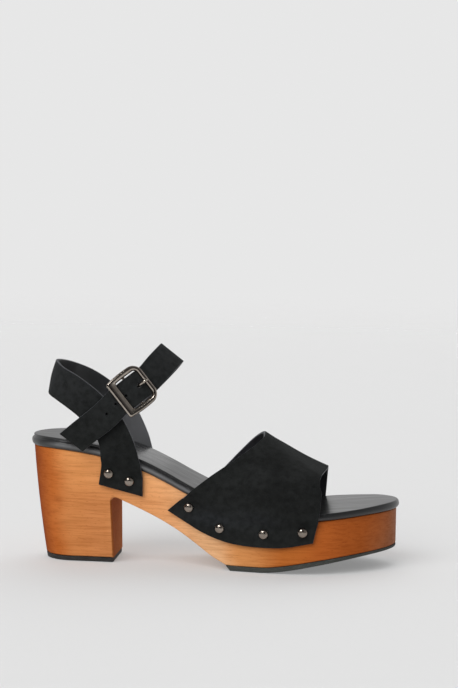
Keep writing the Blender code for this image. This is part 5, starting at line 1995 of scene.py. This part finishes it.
@dataclass(frozen=True)
class Studio:
    """A pale floor, a sky that is bright behind the shoe and dark in front, two lights and the camera."""

    floor_half: float = 6.0
    floor_z: float = -0.0002
    right_reach: tuple[float, float] = (0.15, 0.65)
    behind_reach: tuple[float, float] = (-0.25, 0.55)
    above_reach: tuple[float, float] = (0.25, 0.95)
    below_reach: tuple[float, float] = (0.0, -0.05)
    sensor: float = 36.0
    sight: float = 200.0
    backdrop: float = 0.80
    shade: float = 0.12
    ceiling: float = 0.50
    mirror_shade: float = 0.02
    mirror_ceiling: float = 0.16
    key: float = 2.5
    key_from: tuple[float, float, float] = (-0.50, -0.90, 0.78)
    key_angle: float = math.radians(55.0)
    glint: float = 12.0
    glint_edge: tuple[float, float] = (0.970, 0.992)
    mirror_right: float = 0.34
    back_light: float = 1.0
    back_from: tuple[float, float, float] = (0.10, 0.80, 0.90)
    back_angle: float = math.radians(60.0)
    lens: float = 108.08
    distance: float = 1.3374
    azimuth: float = 5.349
    elevation: float = 4.528
    roll: float = 0.960
    aim: tuple[float, float, float] = (0.12798, 0.0, 0.14163)

    def floor(self) -> None:
        """The floor: a flat grid."""
        run = np.linspace(-self.floor_half, self.floor_half, 9)
        x, y = np.meshgrid(run, run, indexing="ij")
        paper = object_from("studio_floor", grid_shell(np.dstack((x, y, 0 * x + self.floor_z))))
        paper.data.flip_normals()
        paper.data.materials.append(PaperFinish().made())

    def world(self) -> None:
        """The sky: backdrop-white to the eye; as light, bright behind the shoe, dim above, dark in front."""
        world = bpy.data.worlds.new("studio_sky")
        world.use_nodes = True
        chart = Chart(world.node_tree)
        chart.tree.nodes.clear()
        where = chart.add("TexCoord").outputs["Generated"]
        at, ray = chart.axes(where), chart.add("LightPath").outputs
        toward_key = chart.add("VectorMath", operation="DOT_PRODUCT", Vector=where)
        toward_key.inputs[1].default_value = Vector(self.key_from).normalized()
        shader = None
        for shade, right, ceiling, seen_by in (
            (self.shade, self.shade, self.ceiling, None),
            (self.mirror_shade, self.mirror_right, self.mirror_ceiling, "Is Glossy Ray"),
            (self.backdrop, self.backdrop, self.backdrop, "Is Camera Ray"),
        ):
            for axis, reach, end in (
                ("X", self.right_reach, right),
                ("Y", self.behind_reach, self.backdrop),
                ("Z", self.above_reach, ceiling),
            ):
                shade = chart.span(at[axis], reach, (shade, end), "SMOOTHSTEP")
            if seen_by == "Is Glossy Ray":
                rest = (toward_key.outputs["Value"], self.glint_edge, (shade, self.glint))
            else:
                rest = (at["Z"], self.below_reach, (shade, self.backdrop))
            sky = chart.add("Background", Color=chart.span(*rest, "SMOOTHSTEP")).outputs["Background"]
            shader = chart.mix_shaders(ray[seen_by], shader, sky) if seen_by else sky
        chart.link(shader, chart.add("OutputWorld").inputs["Surface"])
        bpy.context.scene.world = world

    def lights(self) -> None:
        """A soft key light from the front left, and a weaker one from behind."""
        for name, energy, angle, source in (
            ("key_light", self.key, self.key_angle, self.key_from),
            ("back_light", self.back_light, self.back_angle, self.back_from),
        ):
            sun = bpy.data.lights.new(name, "SUN")
            sun.energy = energy
            sun.angle = angle
            lamp = bpy.data.objects.new(name, sun)
            lamp.visible_glossy = False
            lamp.rotation_mode = "QUATERNION"
            lamp.rotation_quaternion = Vector(source).to_track_quat("Z", "Y")
            bpy.context.scene.collection.objects.link(lamp)

    def camera(self, last: Last) -> None:
        """The camera: it looks at aim from azimuth and elevation, rolled about its own line of sight."""
        az, el = math.radians(self.azimuth), math.radians(self.elevation)
        back = Vector((math.sin(az) * math.cos(el), -math.cos(az) * math.cos(el), math.sin(el)))
        right = (-back).cross(Vector((0.0, 0.0, 1.0))).normalized()
        up = right.cross(-back)
        roll = math.radians(self.roll)
        rolled_right = math.cos(roll) * right + math.sin(roll) * up
        rolled_up = math.cos(roll) * up - math.sin(roll) * right
        turn = Matrix((rolled_right, rolled_up, back)).transposed()
        data = bpy.data.cameras.new("camera")
        data.lens = self.lens
        data.sensor_width = self.sensor
        data.clip_end = self.sight
        eye = bpy.data.objects.new("camera", data)
        stand = Vector(last.place(np.array(self.aim))) + back * self.distance
        eye.matrix_world = Matrix.Translation(stand) @ turn.to_4x4()
        bpy.context.scene.collection.objects.link(eye)
        bpy.context.scene.camera = eye

    def build(self, last: Last) -> None:
        """Sets the stage."""
        self.floor()
        self.world()
        self.lights()
        self.camera(last)
        bpy.context.scene.view_settings.view_transform = "Standard"


def main() -> None:
    """Builds the stage and every piece of the shoe."""
    logging.basicConfig(level=logging.INFO, format="%(message)s")
    last = Last.from_frame()
    Studio().build(last)
    finishes = Wardrobe.made()
    SoleUnit().build(last, finishes)
    Footbed().build(last, finishes)
    Vamp().build(last, finishes)
    Straps().build(last, finishes)
    Buckle().build(last, finishes)
    Nails().build(last, finishes)


if __name__ == "__main__":
    main()
